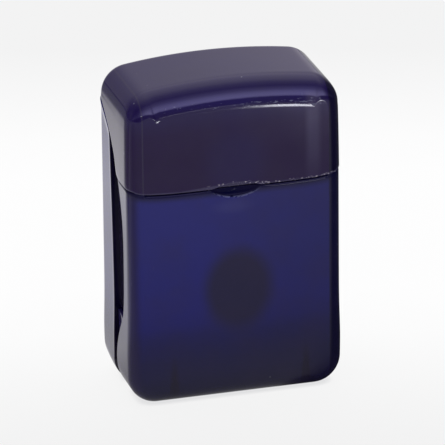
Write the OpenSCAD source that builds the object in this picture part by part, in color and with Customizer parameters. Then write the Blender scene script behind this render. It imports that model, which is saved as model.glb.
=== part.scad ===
// Flip-top dental floss dispenser: a thin two-shell case moulded in one with its lid,
// folded up on two living hinges, round a bobbin of waxed floss and a steel cutter clip.
// Millimetres. Origin: centre of the base. +X right, +Y to the back, +Z up.

/* [Case] */
// Width of the case across its flat sides
body_width = 31.9; // [26:0.1:40]
// Depth of the case from front plane to back plane
case_depth = 16.9; // [14:0.1:22]
// Height of the case to the top of the lid's crown
case_height = 48.5; // [46:0.1:60]
// Radius of the lower corners, seen from the front
corner_base = 4.1; // [3.6:0.1:6]
// Radius of the upper corners, seen from the front
corner_top = 4.2; // [3.6:0.1:6]
// Radius that rounds the front and back faces into the sides
edge_round = 2.1; // [1.4:0.1:2.6]
// Rise of the crowned top across the width
top_crown = 0.8; // [0.3:0.1:2]
// Thickness of the side walls
wall_side = 1.05; // [0.9:0.05:1.3]
// Thickness of the front wall
wall_front = 1.2; // [0.9:0.1:1.6]
// Thickness of the back wall
wall_back = 1.2; // [0.9:0.1:1.5]
// Thickness of the base
wall_base = 1.2; // [1:0.1:1.6]

/* [Parting] */
// Distance from the middle plane back to the back cover's rim
rim_y = 1.0; // [0.4:0.1:2]
// How much further back the rim lies near the base
rim_sweep = 0.6; // [0.2:0.1:0.9]
// Step from the outer skin in to the front shell's tongue
skin_step = 0.45; // [0.35:0.05:0.5]
// Distance from the front plane to the deepest point of the bow in the side
bow_front = 3.65; // [3.2:0.05:5]
// Height of the bow's deepest point
bow_height = 23; // [19:0.5:26]
// Height at which the bow meets the step above the base
bow_low = 11.4; // [10.5:0.1:13]
// Thickness of the back cover's side ears, which fill the bow
ear_wall = 0.8; // [0.6:0.05:0.9]
// Running gap round the ears
ear_gap = 0.12; // [0.08:0.01:0.2]
// Gap between two moulded edges that close on each other
seam_gap = 0.18; // [0.12:0.01:0.25]

/* [Lid] */
// Wall of the lid
lid_wall = 0.95; // [0.8:0.05:1.1]
// Thickness of the lid's crowned top
lid_top_wall = 1.1; // [0.9:0.1:1.5]
// Height of the lid's lower edge at the middle of the front
lid_edge = 32.8; // [31.5:0.1:34]
// How far the lower edge climbs towards the sides
lid_edge_rise = 0.7; // [0.3:0.1:1.2]
// Height at which the lid's side edge crosses the back cover's rim
lid_edge_mid = 38.5; // [37.5:0.1:39.5]
// How far the lid flares out at its lower side edge
lid_flare = 0.2; // [0.1:0.05:0.3]
// How far the lid's front stands proud of the body's front
lid_proud = 0.1; // [0.05:0.05:0.3]
// Height of the lid's hinge line
lid_hinge_z = 44; // [43.6:0.1:45]
// Length of the lid's hinge
lid_hinge_length = 20; // [12:1:22]
// Width of the thumbnail scoop under the lid
scoop_width = 8.4; // [6:0.2:11]
// Height of the scoop in the body
scoop_height = 1.5; // [1:0.1:2.2]
// Height of the scoop in the lid's edge
scoop_lid = 0.5; // [0.3:0.1:0.8]
// Depth of the scoop
scoop_depth = 0.65; // [0.4:0.05:0.8]

/* [Neck and deck] */
// Gap between the lid's front wall and the neck
neck_gap = 0.2; // [0.15:0.05:0.35]
// Wall of the neck and of the deck's sides
neck_wall = 1.0; // [0.8:0.1:1.2]
// Height of the deck's top face
deck_top = 40.5; // [39.5:0.1:41]
// Thickness of the deck
deck_wall = 1.2; // [0.9:0.1:1.5]
// Height of the low rim along the deck's sides
deck_rim = 0.8; // [0.4:0.1:1.2]
// Radius of the hole that the floss comes up through
exit_radius = 0.9; // [0.6:0.1:1.4]
// Distance of that hole behind the middle plane
exit_y = 1.0; // [0:0.1:2]
// Height of the collar round that hole
exit_collar = 0.6; // [0.3:0.1:1]

/* [Hinges] */
// Thickness of the hinge films
film = 0.3; // [0.25:0.05:0.4]
// Radius of the bead that stands for the film's bend
bead = 0.25; // [0.2:0.01:0.26]
// Gap between a bead and the edge that folds round it
bead_gap = 0.1; // [0.08:0.01:0.14]
// Length of the hinge in the base
base_hinge_length = 18; // [12:1:20]

/* [Bobbin and floss] */
// Height of the bobbin's axis
spool_z = 15.5; // [14.5:0.1:19]
// Radius of the post that the bobbin turns on
post_radius = 2; // [1.6:0.1:2.2]
// Running clearance of the bobbin on its post, on the radius
post_clearance = 0.08; // [0.03:0.01:0.1]
// Radius of the bobbin's hub
hub_radius = 3.1; // [2.9:0.1:3.6]
// Radius of the bobbin's flanges
flange_radius = 5.9; // [5.7:0.1:7]
// Thickness of a flange
flange = 0.7; // [0.5:0.05:0.9]
// Length of the bobbin over its flanges
spool_length = 10.6; // [10.4:0.1:10.8]
// End gap between the bobbin and what keeps it on the post
end_gap = 0.2; // [0.1:0.05:0.3]
// Radius of the inner layers of floss
wound_radius = 4.9; // [4.5:0.1:5]
// Diameter of the floss strand
strand = 0.45; // [0.3:0.05:0.5]
// Turns in the outer layer
outer_turns = 9; // [5:1:9]

/* [Cutter] */
// Width of the cutter clip
clip_width = 11; // [9:0.5:12]
// Depth of the clip's top
clip_depth = 4.6; // [4:0.1:5]
// Thickness of its steel
clip_steel = 0.25; // [0.2:0.05:0.3]
// Height of the seat that carries it above the deck
seat_height = 1.4; // [1:0.1:1.8]
// How far its front leg reaches down the neck
clip_leg = 5; // [3:0.5:6]
// Height of the tooth
tooth_height = 1.7; // [1.2:0.1:2]
// Width of the tooth
tooth_width = 3; // [2.4:0.1:3.4]

/* [Hidden] */
$fn = 48;
eps = 0.01;
hw = body_width / 2;
y_lid = -case_depth / 2;
y_front = y_lid + lid_proud;
y_back = case_depth / 2;
// Crown arc through the upper corners' centres
crown_a = hw - corner_top;
crown_r = (crown_a * crown_a + top_crown * top_crown) / (2 * top_crown);
crown_z = case_height - crown_r;
corner_z = crown_z + sqrt(pow(crown_r - corner_top, 2) - pow(crown_a, 2));
crown_t = acos(crown_a / (crown_r - corner_top));
corner_steps = 7;
round_steps = 5;
// Hinge lines
base_axis_y = rim_y + rim_sweep - 0.05;
base_axis_z = skin_step + film / 2;
lid_axis_y = y_back - bead;
// The bow's deepest point, its two ends and the step that goes on down to the base
bow_y = y_front + bow_front;
bow_top = [rim_y - 2.05, lid_edge + lid_edge_rise + 1.5];
bow_end = [bow_y + 1.48, bow_low];
step_base = [bow_y + 2.75, -1];
// Ears of the back cover, inside the front shell's skin
ear_out = skin_step + ear_gap;
ear_in = ear_out + ear_wall;
ear_front = bow_y - 0.85;
ear_low_r = bow_low + 0.35;
tongue_tip = [rim_y - 2.1, bow_low + 0.2];
// Neck, tray and lip
y_neck = y_lid + lid_wall + neck_gap;
tray_half = hw - ear_in - 0.2;
deck_low = deck_top - deck_wall;
y_tray_back = y_back - wall_back - 0.25;
lip_low = lid_hinge_z - film / 2 - 0.2;
lip_high = lid_hinge_z + bead;
cover_top = lip_low - 0.35;
// Bobbin
y_inner = y_front + wall_front;
spool_front = y_inner + end_gap + 0.3;
spool_back = spool_front + spool_length;
y_boss = spool_back + end_gap;
helix_r = wound_radius + 0.04 + strand / 2;
helix_outer = helix_r + strand / 2;
wind_length = spool_length - 2 * flange;
wind_front = spool_front + flange;
strand_pitch = (wind_length - strand - 0.3) / outer_turns;
helix_start = wind_front + 0.15 + strand / 2;
// Cutter
seat_top = deck_top + seat_height;
y_clip = y_neck;
y_clip_back = y_clip + clip_depth;
tooth_y = y_clip + 2.3;

function arc(cx, cy, r, a, b, n) =
    [for (i = [0:n]) [cx + r * cos(a + (b - a) * i / n), cy + r * sin(a + (b - a) * i / n)]];
function bezier(p, c, d, q, n) =
    [for (i = [0:n]) let (t = i / n, u = 1 - t)
        u * u * u * p + 3 * u * u * t * c + 3 * u * t * t * d + t * t * t * q];

// Front view of the case, drawn in by i on every side; the sides lean out by f at lid_edge
function outline(i, f) = [
    for (p = concat(
        arc(hw - corner_base, corner_base, corner_base - i, -90, 0, corner_steps),
        arc(hw - corner_top, corner_z, corner_top - i, 0, crown_t, corner_steps),
        arc(0, crown_z, crown_r - i, crown_t + 1, 179 - crown_t, 8),
        arc(corner_top - hw, corner_z, corner_top - i, 180 - crown_t, 180, corner_steps),
        arc(corner_base - hw, corner_base, corner_base - i, 180, 270, corner_steps)))
    [p[0] + sign(p[0]) * max(0, f * (corner_z - p[1]) / (corner_z - lid_edge)), p[1]]];

// Insets and depths of the rounded front (r) and back (s) edges of a case form
function rounds(i, ya, yb, r, s) = concat(
    [for (k = [0:round_steps]) [i + r * (1 - sin(90 * k / round_steps)),
        ya + r * (1 - cos(90 * k / round_steps))]],
    [for (k = [round_steps:-1:0]) [i + s * (1 - sin(90 * k / round_steps)),
        yb - s * (1 - cos(90 * k / round_steps))]]);

// Case form lofted through those sections, drawn in by i, from depth ya to yb
module case_form(i, ya, yb, r, s, f = 0) {
    secs = rounds(i, ya, yb, max(r, 0.05), max(s, 0.05));
    rings = [for (q = secs) [for (p = outline(q[0], f)) [p[0], q[1], p[1]]]];
    m = len(rings[0]);
    n = len(rings);
    polyhedron(
        points = [for (ring = rings) each ring],
        faces = concat(
            [[for (j = [m - 1:-1:0]) j]],
            [[for (j = [0:m - 1]) (n - 1) * m + j]],
            [for (k = [0:n - 2]) for (j = [0:m - 1])
                [k * m + j, k * m + (j + 1) % m, (k + 1) * m + j]],
            [for (k = [0:n - 2]) for (j = [0:m - 1])
                [k * m + (j + 1) % m, (k + 1) * m + (j + 1) % m, (k + 1) * m + j]]));
}

// Prism across the width from a side-view profile of [y, z] points
module across(half) {
    translate([-half, 0, 0]) rotate([90, 0, 90]) linear_extrude(2 * half) children();
}

// Prism from front to back from a front-view profile of [x, z] points
module through(ya, yb) {
    translate([0, yb, 0]) rotate([90, 0, 0]) linear_extrude(yb - ya) children();
}

// Side-view edge of the lid, from the front corner up to the hinge
side_edge = concat(
    [[y_lid - 1, lid_edge - 1.2], [rim_y - 7, lid_edge - 1.2]],
    bezier([rim_y - 7, lid_edge + lid_edge_rise - 0.6], [rim_y - 3, lid_edge + lid_edge_rise - 0.1],
        [rim_y - 2, lid_edge_mid - 2.6], [rim_y, lid_edge_mid], 8),
    bezier([rim_y, lid_edge_mid], [rim_y + 1.3, lid_edge_mid + 1.5],
        [y_back - 3.4, lid_hinge_z - 2.5], [y_back + 1, lid_hinge_z + 0.7], 6));

module above_side_edge(lift) {
    across(hw + 2)
        translate([0, lift])
            polygon(concat(side_edge, [[y_back + 1, case_height + 3], [y_lid - 1, case_height + 3]]));
}

module below_side_edge(lift) {
    across(hw + 2)
        translate([0, lift])
            polygon(concat([[y_back + 1, -3], [y_lid - 1, -3]], side_edge));
}

// Front-view edge of the lid, which climbs towards the sides
front_edge = [for (k = [-8:8]) [k / 8 * (hw + 1), lid_edge + lid_edge_rise * pow(k / 8, 4)]];

module above_front_edge(lift) {
    through(y_lid - 1, y_back + 1)
        translate([0, lift])
            polygon(concat(front_edge, [[hw + 1, case_height + 3], [-hw - 1, case_height + 3]]));
}

module below_front_edge(lift) {
    through(y_lid - 1, y_back + 1)
        translate([0, lift])
            polygon(concat([[hw + 1, -3], [-hw - 1, -3]], front_edge));
}

// Side view of the front shell's outer skin, bounded behind by the bow
bow = concat(
    bezier(bow_top, bow_top + [-1.95, -3.8], [bow_y, bow_height + 5.3], [bow_y, bow_height], 8),
    bezier([bow_y, bow_height], [bow_y, bow_height - 4.5], bow_end + [-0.9, 3.2], bow_end, 8),
    [step_base]);

module skin_side() {
    polygon(concat([[y_lid - 1, -1], [y_lid - 1, case_height], [bow_top[0], case_height]], bow));
}

// Rim of the back cover in side view, swept back near the base
rim = [for (k = [0:8]) [rim_y + rim_sweep * (1 - cos(180 * k / 8)) / 2, 14 - 9 * k / 8]];

// Side view of the tongue below the bow, which meets the rim
module tongue_side() {
    polygon(concat(
        [[y_lid - 1, -1], [y_lid - 1, bow_low - 1.2], [tongue_tip[0] - 1, bow_low - 1.2],
            tongue_tip, [rim_y - 0.1, bow_low - 2.1]],
        [for (k = [4:8]) rim[k] - [seam_gap, 0]],
        [[rim[8][0] - seam_gap, -1]]));
}

module cover_side() {
    polygon(concat([[rim_y, case_height]], rim, [[rim[8][0], -1], [y_back + 1, -1],
        [y_back + 1, case_height]]));
}

// Side view of an ear: its ends are arcs about the base hinge, so it swings clear
module ear_side() {
    intersection() {
        difference() {
            translate([ear_front, 0])
                square([rim_y + 2 - ear_front, case_height]);
            translate([base_axis_y, base_axis_z])
                circle(ear_low_r, $fn = 96);
        }
        union() {
            translate([base_axis_y, base_axis_z])
                circle(lid_edge + 0.2, $fn = 240);
            translate([rim_y - 4, 0])
                square([8, case_height]);
        }
    }
}

// Side view of the room that an ear needs inside the front shell
module rebate_side() {
    difference() {
        translate([ear_front - seam_gap, bow_low - 3.5])
            square([20, lid_edge_mid - bow_low + 3.5]);
        translate([base_axis_y, base_axis_z])
            circle(ear_low_r - seam_gap, $fn = 96);
    }
}

module front_body() {
    color([0.16, 0.15, 0.34]) {
        difference() {
            union() {
                // Outer skin, bounded by the bow and the lid's edge
                intersection() {
                    case_form(0, y_front, y_back, edge_round, edge_round);
                    across(hw + 1) skin_side();
                    union() {
                        below_front_edge(-seam_gap);
                        below_side_edge(-seam_gap);
                    }
                }
                // Tongue, set in by the step, which meets the back cover's rim
                intersection() {
                    case_form(skin_step, y_front + skin_step, y_back, edge_round - skin_step,
                        edge_round - skin_step);
                    across(hw + 1) tongue_side();
                }
                // Neck under the lid's front
                intersection() {
                    case_form(lid_wall + neck_gap, y_neck, y_back, edge_round - lid_wall, 1);
                    translate([-hw, y_neck, lid_edge - 2.4])
                        cube([body_width, ear_front - y_neck - seam_gap, deck_top - lid_edge + 2.4]);
                }
                // Tray that carries the deck back to the lid's hinge
                translate([-tray_half, y_neck + 0.6, lid_edge + 0.6])
                    cube([2 * tray_half, y_tray_back - y_neck - 0.6, deck_top + deck_rim - lid_edge - 0.6]);
            }
            // Inside of the shell, below the shoulder
            intersection() {
                case_form(wall_side, y_inner, y_back + 3, 1, 0.1);
                translate([-hw, y_inner - 1, wall_base])
                    cube([body_width, case_depth + 6, lid_edge - 1.2 - wall_base]);
            }
            // Rebate for the ears
            difference() {
                intersection() {
                    case_form(skin_step + 0.02, ear_front - seam_gap, y_back + 3, 0.1, 0.1);
                    across(hw + 1) rebate_side();
                }
                translate([-tray_half - 0.1, y_lid, -1])
                    cube([2 * tray_half + 0.2, case_depth + 6, case_height]);
            }
            // Inside of the neck and tray, under the deck
            translate([-tray_half + neck_wall, y_neck + neck_wall, lid_edge - 2])
                cube([2 * (tray_half - neck_wall), case_depth, deck_low - lid_edge + 2]);
            // Above the deck, inside its rims
            translate([-tray_half + neck_wall, y_neck + neck_wall, deck_top])
                cube([2 * (tray_half - neck_wall), y_tray_back - y_neck - 2 * neck_wall, 5]);
            translate([-tray_half - 1, y_neck - 1, deck_top])
                cube([2 * tray_half + 2, neck_wall + 2 + eps, 5]);
            // Hole for the floss
            translate([0, exit_y, deck_low - 1])
                cylinder(r = exit_radius, h = deck_wall + 3);
            // Thumbnail scoop
            thumb_scoop(scoop_height, scoop_width, lid_edge - seam_gap, y_front);
            // Recess for the clip's front leg
            translate([-clip_width / 2 - 0.1, y_neck - 1, deck_top - clip_leg - 0.2])
                cube([clip_width + 0.2, 1 + clip_steel + 0.03, clip_leg + 1]);
            // Slot for the clip's back leg
            translate([-clip_width / 4 - 0.1, y_clip_back - clip_steel - 0.05, deck_top - 0.8])
                cube([clip_width / 2 + 0.2, clip_steel + 0.1, 2]);
            // Edge of the base in front of the hinge film
            translate([-base_hinge_length / 2 - 0.1, base_axis_y - bead - bead_gap, -1])
                cube([base_hinge_length + 0.2, 5, wall_base + 2]);
        }
        // Collar round the floss hole
        translate([0, exit_y, deck_top - eps])
            difference() {
                cylinder(r = exit_radius + 0.7, h = exit_collar + eps);
                translate([0, 0, -1])
                    cylinder(r = exit_radius, h = exit_collar + 2);
            }
        // Seat for the cutter
        difference() {
            translate([-clip_width / 2 + 0.3, y_clip + clip_steel + 0.04, deck_top - eps])
                cube([clip_width - 0.6, clip_depth - 2 * clip_steel - 0.1, seat_height + eps]);
            translate([-tooth_width / 2 - 0.2, tooth_y - 0.3, seat_top - 0.7])
                cube([tooth_width + 0.4, clip_depth, 2]);
        }
        // Back rim of the deck, with the lip that carries the lid's hinge
        translate([-lid_hinge_length / 2 - 1, 0, 0])
            rotate([90, 0, 90])
                linear_extrude(lid_hinge_length + 2)
                    polygon([[y_tray_back - neck_wall - 0.1, deck_top - eps],
                        [y_tray_back, deck_top - eps], [y_tray_back, lip_low],
                        [y_back - 0.55, lip_low], [y_back - 0.55, lip_high],
                        [y_tray_back - 0.5, lip_high], [y_tray_back - neck_wall - 0.1, lip_high - 0.7]]);
        // Post for the bobbin, with its shoulder
        translate([0, y_inner - eps, spool_z])
            rotate([-90, 0, 0]) {
                cylinder(r = post_radius, h = spool_back - y_inner - 0.3);
                translate([0, 0, spool_back - y_inner - 0.3])
                    cylinder(r1 = post_radius, r2 = post_radius - 0.4, h = 0.4);
                cylinder(r = hub_radius - 0.1, h = 0.3);
            }
        // Gussets between the front wall and the base
        for (s = [-1, 1])
            translate([s * (hub_radius + 6.7) - 0.6, 0, 0])
                rotate([90, 0, 90])
                    linear_extrude(1.2)
                        polygon([[y_inner - eps, wall_base - eps], [y_inner + 4.5, wall_base - eps],
                            [y_inner + 1.2, wall_base + 3.6], [y_inner - eps, wall_base + 3.6]]);
        // Ribs under the cutter's seat
        for (s = [-1, 1])
            translate([s * (clip_width / 2 + 0.4) - 0.4, y_neck + neck_wall - eps, lid_edge + 1.6])
                cube([0.8, 1.8, deck_low - lid_edge - 1.6 + eps]);
    }
}

module thumb_scoop(rise, width, edge, face) {
    r = (width * width / 4 + rise * rise) / (2 * rise);
    translate([0, face - 1, edge - rise + r])
        rotate([-90, 0, 0])
            cylinder(r = r, h = 1 + scoop_depth, $fn = 128);
}

// Bevel under the cover's edge, which lets it fold past the base hinge
module base_edge_bevel() {
    across(hw + 1)
        polygon([[rim_y, -1], [rim_y, base_axis_z + 0.05],
            [base_axis_y + bead + bead_gap, base_axis_z + 0.05], [base_axis_y + 2, 0],
            [base_axis_y + 2, -1]]);
}

module back_cover() {
    color([0.2, 0.19, 0.38]) {
        difference() {
            union() {
                difference() {
                    intersection() {
                        case_form(0, y_front, y_back, edge_round, edge_round);
                        across(hw + 1) cover_side();
                        below_side_edge(-seam_gap);
                    }
                    intersection() {
                        case_form(wall_side + 0.15, y_front, y_back - wall_back, 0.1, 1);
                        translate([-hw, y_front - 1, wall_base])
                            cube([body_width, case_depth + 2, case_height]);
                    }
                }
                // Ears that fill the bows
                difference() {
                    intersection() {
                        case_form(ear_out, y_front, y_back - 1, 0.1, 0.1);
                        across(hw + 1) ear_side();
                        below_side_edge(-seam_gap - 0.07);
                    }
                    translate([-hw + ear_in, y_front, -1])
                        cube([2 * (hw - ear_in), case_depth, case_height + 2]);
                }
                // Boss that keeps the bobbin on its post
                translate([0, y_boss, spool_z])
                    rotate([-90, 0, 0])
                        difference() {
                            cylinder(r = hub_radius, h = y_back - wall_back - y_boss + 0.2);
                            translate([0, 0, -1])
                                cylinder(r = hub_radius - 0.9, h = y_back - wall_back - y_boss + 0.6);
                        }
                // Ribs that stiffen the back wall
                for (z = [spool_z + 10, spool_z + 15.5])
                    translate([-hw + wall_side, y_back - wall_back - 0.7, z])
                        cube([body_width - 2 * wall_side, 0.7 + eps, 0.9]);
            }
            // Top edge, rounded off under the lid's hinge
            across(hw + 1)
                polygon([[rim_y + 3, cover_top], [y_back - 0.7, cover_top], [y_back + 0.1, cover_top - 0.8],
                    [y_back + 1, cover_top - 0.8], [y_back + 1, case_height], [rim_y + 3, case_height]]);
            base_edge_bevel();
            // Round edge that folds past the base hinge's bead
            translate([-hw, base_axis_y, base_axis_z])
                rotate([0, 90, 0])
                    cylinder(r = bead + bead_gap, h = body_width);
        }
    }
}

module flip_lid() {
    color([0.19, 0.16, 0.33]) {
        difference() {
            union() {
                difference() {
                    intersection() {
                        case_form(0, y_lid, y_back, edge_round, edge_round, lid_flare);
                        above_front_edge(0);
                        above_side_edge(0);
                    }
                    intersection() {
                        case_form(lid_wall, y_lid + lid_wall, y_back - lid_wall, 1.2, 1.2, lid_flare);
                        translate([-hw - 1, y_lid, -1])
                            cube([body_width + 2, case_depth, case_height - lid_top_wall - top_crown + 1]);
                    }
                }
                // Ribs under the lid's top
                for (s = [-1, 1])
                    translate([s * 6.5 - 0.4, y_lid + 0.5, case_height - lid_top_wall - top_crown - 0.7])
                        cube([0.8, case_depth - 1, 0.8]);
            }
            // Scoop in the lower edge
            thumb_scoop_lid();
            // Back edge over the hinge
            translate([-lid_hinge_length / 2 - 1.3, y_back - 3, lid_hinge_z - 3])
                cube([lid_hinge_length + 2.6, 4, 3 + bead + bead_gap]);
        }
    }
}

module thumb_scoop_lid() {
    r = (pow(scoop_width * 0.76, 2) / 4 + scoop_lid * scoop_lid) / (2 * scoop_lid);
    translate([0, y_lid - 1, lid_edge + scoop_lid - r])
        rotate([-90, 0, 0])
            cylinder(r = r, h = 1 + scoop_depth, $fn = 128);
}

module lid_hinge() {
    color([0.2, 0.18, 0.36]) {
        translate([-lid_hinge_length / 2, lid_axis_y, lid_hinge_z])
            rotate([0, 90, 0])
                cylinder(r = bead, h = lid_hinge_length);
        translate([-lid_hinge_length / 2, y_back - 0.55 + 0.01, lid_hinge_z - film / 2])
            cube([lid_hinge_length, 0.3, film]);
    }
}

module base_hinge() {
    color([0.2, 0.18, 0.36]) {
        translate([-base_hinge_length / 2, base_axis_y, base_axis_z])
            rotate([0, 90, 0])
                cylinder(r = bead, h = base_hinge_length);
        translate([-base_hinge_length / 2, base_axis_y - bead - bead_gap + 0.01, base_axis_z - film / 2])
            cube([base_hinge_length, bead + bead_gap - 0.01, film]);
    }
}

module bobbin() {
    color([0.93, 0.93, 0.9])
        translate([0, spool_front, spool_z])
            rotate([-90, 0, 0])
                difference() {
                    union() {
                        cylinder(r = hub_radius, h = spool_length);
                        cylinder(r = flange_radius, h = flange);
                        translate([0, 0, spool_length - flange])
                            cylinder(r = flange_radius, h = flange);
                    }
                    translate([0, 0, -1])
                        cylinder(r = post_radius + post_clearance, h = spool_length + 2);
                    // Slot that holds the floss's inner end
                    translate([-0.3, hub_radius + 0.6, spool_length - flange - 1])
                        cube([0.6, flange_radius, flange + 2]);
                }
}

module floss_winding() {
    color([0.95, 0.96, 0.93])
        translate([0, wind_front + 0.03, spool_z])
            rotate([-90, 0, 0])
                difference() {
                    cylinder(r = wound_radius, h = wind_length - 0.06);
                    translate([0, 0, -1])
                        cylinder(r = hub_radius + 0.02, h = wind_length + 2);
                }
}

// Tube of n sides through a list of points; ref is never along the route
function unit(v) = v / norm(v);
function tangent(p, k) = unit(p[min(k + 1, len(p) - 1)] - p[max(k - 1, 0)]);
function tube_ring(p, k, r, n, ref) =
    let (t = tangent(p, k), u = unit(ref[k] - (ref[k] * t) * t), v = cross(t, u))
    [for (j = [0:n - 1]) p[k] + r * (cos(360 * j / n) * u + sin(360 * j / n) * v)];

module tube(p, r, n, ref) {
    m = len(p);
    polyhedron(
        points = [for (k = [0:m - 1]) each tube_ring(p, k, r, n, ref)],
        faces = concat(
            [[for (j = [n - 1:-1:0]) j]],
            [[for (j = [0:n - 1]) (m - 1) * n + j]],
            [for (k = [0:m - 2]) for (j = [0:n - 1])
                [k * n + j, k * n + (j + 1) % n, (k + 1) * n + j]],
            [for (k = [0:m - 2]) for (j = [0:n - 1])
                [k * n + (j + 1) % n, (k + 1) * n + (j + 1) % n, (k + 1) * n + j]]));
}

// Outer layer of floss: one helix round the bobbin's axis, with straight ends
helix_n = outer_turns * 24;
helix = [for (k = [0:helix_n])
    [helix_r * cos(-360 * k / 24), helix_start + strand_pitch * k / 24,
        spool_z + helix_r * sin(-360 * k / 24)]];
helix_ref = [for (q = helix) [0, 1, 0]];
helix_gap = min([for (a = [0:2:helix_n - 24]) for (b = [a + 12:1:min(a + 36, helix_n)])
    norm(helix[a] - helix[b])]) - strand;
echo(floss_least_gap = helix_gap);

module floss_outer_turns() {
    color([0.97, 0.98, 0.95])
        tube(helix, strand / 2, 6, helix_ref);
}

// The strand that is led off the winding, up through the deck and over the cutter
lead_r = helix_outer + 0.06 + strand / 2;
lead_dx = 0;
lead_dz = deck_low - spool_z;
lead_a = acos(lead_r / norm([lead_dx, lead_dz]));
lead_end_z = seat_top + clip_steel + strand / 2 + 0.03;
lead_side = tooth_width / 2 + strand / 2 + 0.15;
lead = concat(
    [[lead_r * sin(lead_a), exit_y, spool_z + lead_r * cos(lead_a)],
        [0.15, exit_y, deck_low - 0.8]],
    bezier([0, exit_y, deck_low], [0, exit_y, deck_top + exit_collar],
        [0, exit_y - 0.2, lead_end_z + 0.1], [0, exit_y - 2.2, lead_end_z], 8),
    bezier([0, exit_y - 2.6, lead_end_z], [0, exit_y - 3.6, lead_end_z],
        [lead_side, tooth_y + 2.2, lead_end_z], [lead_side, tooth_y + 0.35, lead_end_z], 6),
    bezier([lead_side, tooth_y - 0.05, lead_end_z], [lead_side, tooth_y - 0.7, lead_end_z],
        [lead_side - 1, tooth_y - 0.85, lead_end_z], [-lead_side, tooth_y - 0.95, lead_end_z], 6));
lead_ref = [for (q = lead) [1, 0.5, 0]];

module floss_lead() {
    color([0.97, 0.98, 0.95])
        tube(lead, strand / 2, 8, lead_ref);
}

module cutter_clip() {
    color([0.75, 0.76, 0.78]) {
        difference() {
            union() {
                // Front leg, top and back leg, bent from one strip
                across(clip_width / 2)
                    difference() {
                        translate([y_clip + 0.01, deck_top - clip_leg])
                            square([clip_depth - 0.02, clip_leg + seat_height + clip_steel]);
                        translate([y_clip + 0.01 + clip_steel, deck_top - clip_leg - 1])
                            square([clip_depth - 0.02 - 2 * clip_steel, clip_leg + 1 + seat_height]);
                    }
            }
            // The back leg is short and narrow
            translate([-clip_width, y_clip_back - clip_steel - 0.02, deck_top - clip_leg - 1])
                cube([2 * clip_width, 1, clip_leg + 1 - 0.6]);
            for (s = [-1, 1])
                translate([s * clip_width / 2 - clip_width / 4, y_clip_back - clip_steel - 0.02,
                    deck_top - 2])
                    cube([clip_width / 2, 1, 2 + seat_height - 0.2]);
            // Window that the tooth is cut from
            translate([-tooth_width / 2 - 0.15, tooth_y, seat_top - 1])
                cube([tooth_width + 0.3, 1.5, 2]);
        }
        // Tooth, bent up, with three points
        translate([0, tooth_y + clip_steel, seat_top])
            rotate([90 + 12, 0, 0])
                linear_extrude(clip_steel)
                    polygon([[-tooth_width / 2, 0], [tooth_width / 2, 0],
                        [tooth_width / 2, tooth_height * 0.6], [tooth_width / 3, tooth_height],
                        [tooth_width / 6, tooth_height * 0.65], [0, tooth_height],
                        [-tooth_width / 6, tooth_height * 0.65], [-tooth_width / 3, tooth_height],
                        [-tooth_width / 2, tooth_height * 0.6]]);
    }
}

front_body();
back_cover();
flip_lid();
lid_hinge();
base_hinge();
bobbin();
floss_winding();
floss_outer_turns();
floss_lead();
cutter_clip();
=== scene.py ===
import math

import bmesh
import bpy
import numpy as np
from mathutils import Matrix, Vector


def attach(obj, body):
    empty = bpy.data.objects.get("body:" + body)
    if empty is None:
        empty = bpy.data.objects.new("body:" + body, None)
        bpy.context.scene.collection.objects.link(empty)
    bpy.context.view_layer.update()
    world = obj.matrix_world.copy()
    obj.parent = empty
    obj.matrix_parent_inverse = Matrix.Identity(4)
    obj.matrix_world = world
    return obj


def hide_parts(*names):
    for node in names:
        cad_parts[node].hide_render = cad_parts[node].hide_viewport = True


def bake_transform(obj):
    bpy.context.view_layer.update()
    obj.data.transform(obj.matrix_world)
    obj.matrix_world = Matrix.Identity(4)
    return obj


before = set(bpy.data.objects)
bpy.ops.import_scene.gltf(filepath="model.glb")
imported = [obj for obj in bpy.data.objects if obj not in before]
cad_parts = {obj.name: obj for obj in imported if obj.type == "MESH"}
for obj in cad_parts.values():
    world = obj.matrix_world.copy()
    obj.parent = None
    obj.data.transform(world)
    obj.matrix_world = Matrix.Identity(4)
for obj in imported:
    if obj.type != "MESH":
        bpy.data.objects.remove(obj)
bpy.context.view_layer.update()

# ---------------------------------------------------------------------------------------------
# Values of the part, in millimetres, as in its source
# ---------------------------------------------------------------------------------------------
HW, HEIGHT = 31.9 / 2, 48.5
Y_LID, Y_FRONT, Y_BACK = -8.45, -8.35, 8.45
R_BASE, R_TOP, R_EDGE = 4.1, 4.2, 2.1
# Roundings seen in the photograph: front and back corner of the base, depth at the body's and
# the lid's front edges, front top edge of the lid
R_BASE_FRONT, R_BASE_BACK, D_BODY, D_LID, R_LID_TOP = 4.0, 5.0, 2.2, 2.6, 4.0
# Crown: arc through the centres of the upper corners
CROWN = 0.8
CROWN_A = HW - R_TOP
CROWN_R = (CROWN_A ** 2 + CROWN ** 2) / (2 * CROWN)
CROWN_Z = HEIGHT - CROWN_R
CORNER_Z = CROWN_Z + math.sqrt((CROWN_R - R_TOP) ** 2 - CROWN_A ** 2)
CROWN_T = math.acos(CROWN_A / (CROWN_R - R_TOP))
WALL_SIDE, WALL_FRONT, WALL_BACK = 1.05, 1.2, 1.2
RIM_Y, RIM_SWEEP = 1.0, 0.6
STEP, SEAM, EAR_GAP, EAR_WALL = 0.45, 0.18, 0.12, 0.8
BOW_Y, BOW_Z, BOW_LOW = Y_FRONT + 3.95, 23.0, 11.4
LID_WALL, LID_EDGE, LID_RISE, LID_MID, LID_FLARE = 0.95, 32.8, 0.7, 38.5, 0.198
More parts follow.
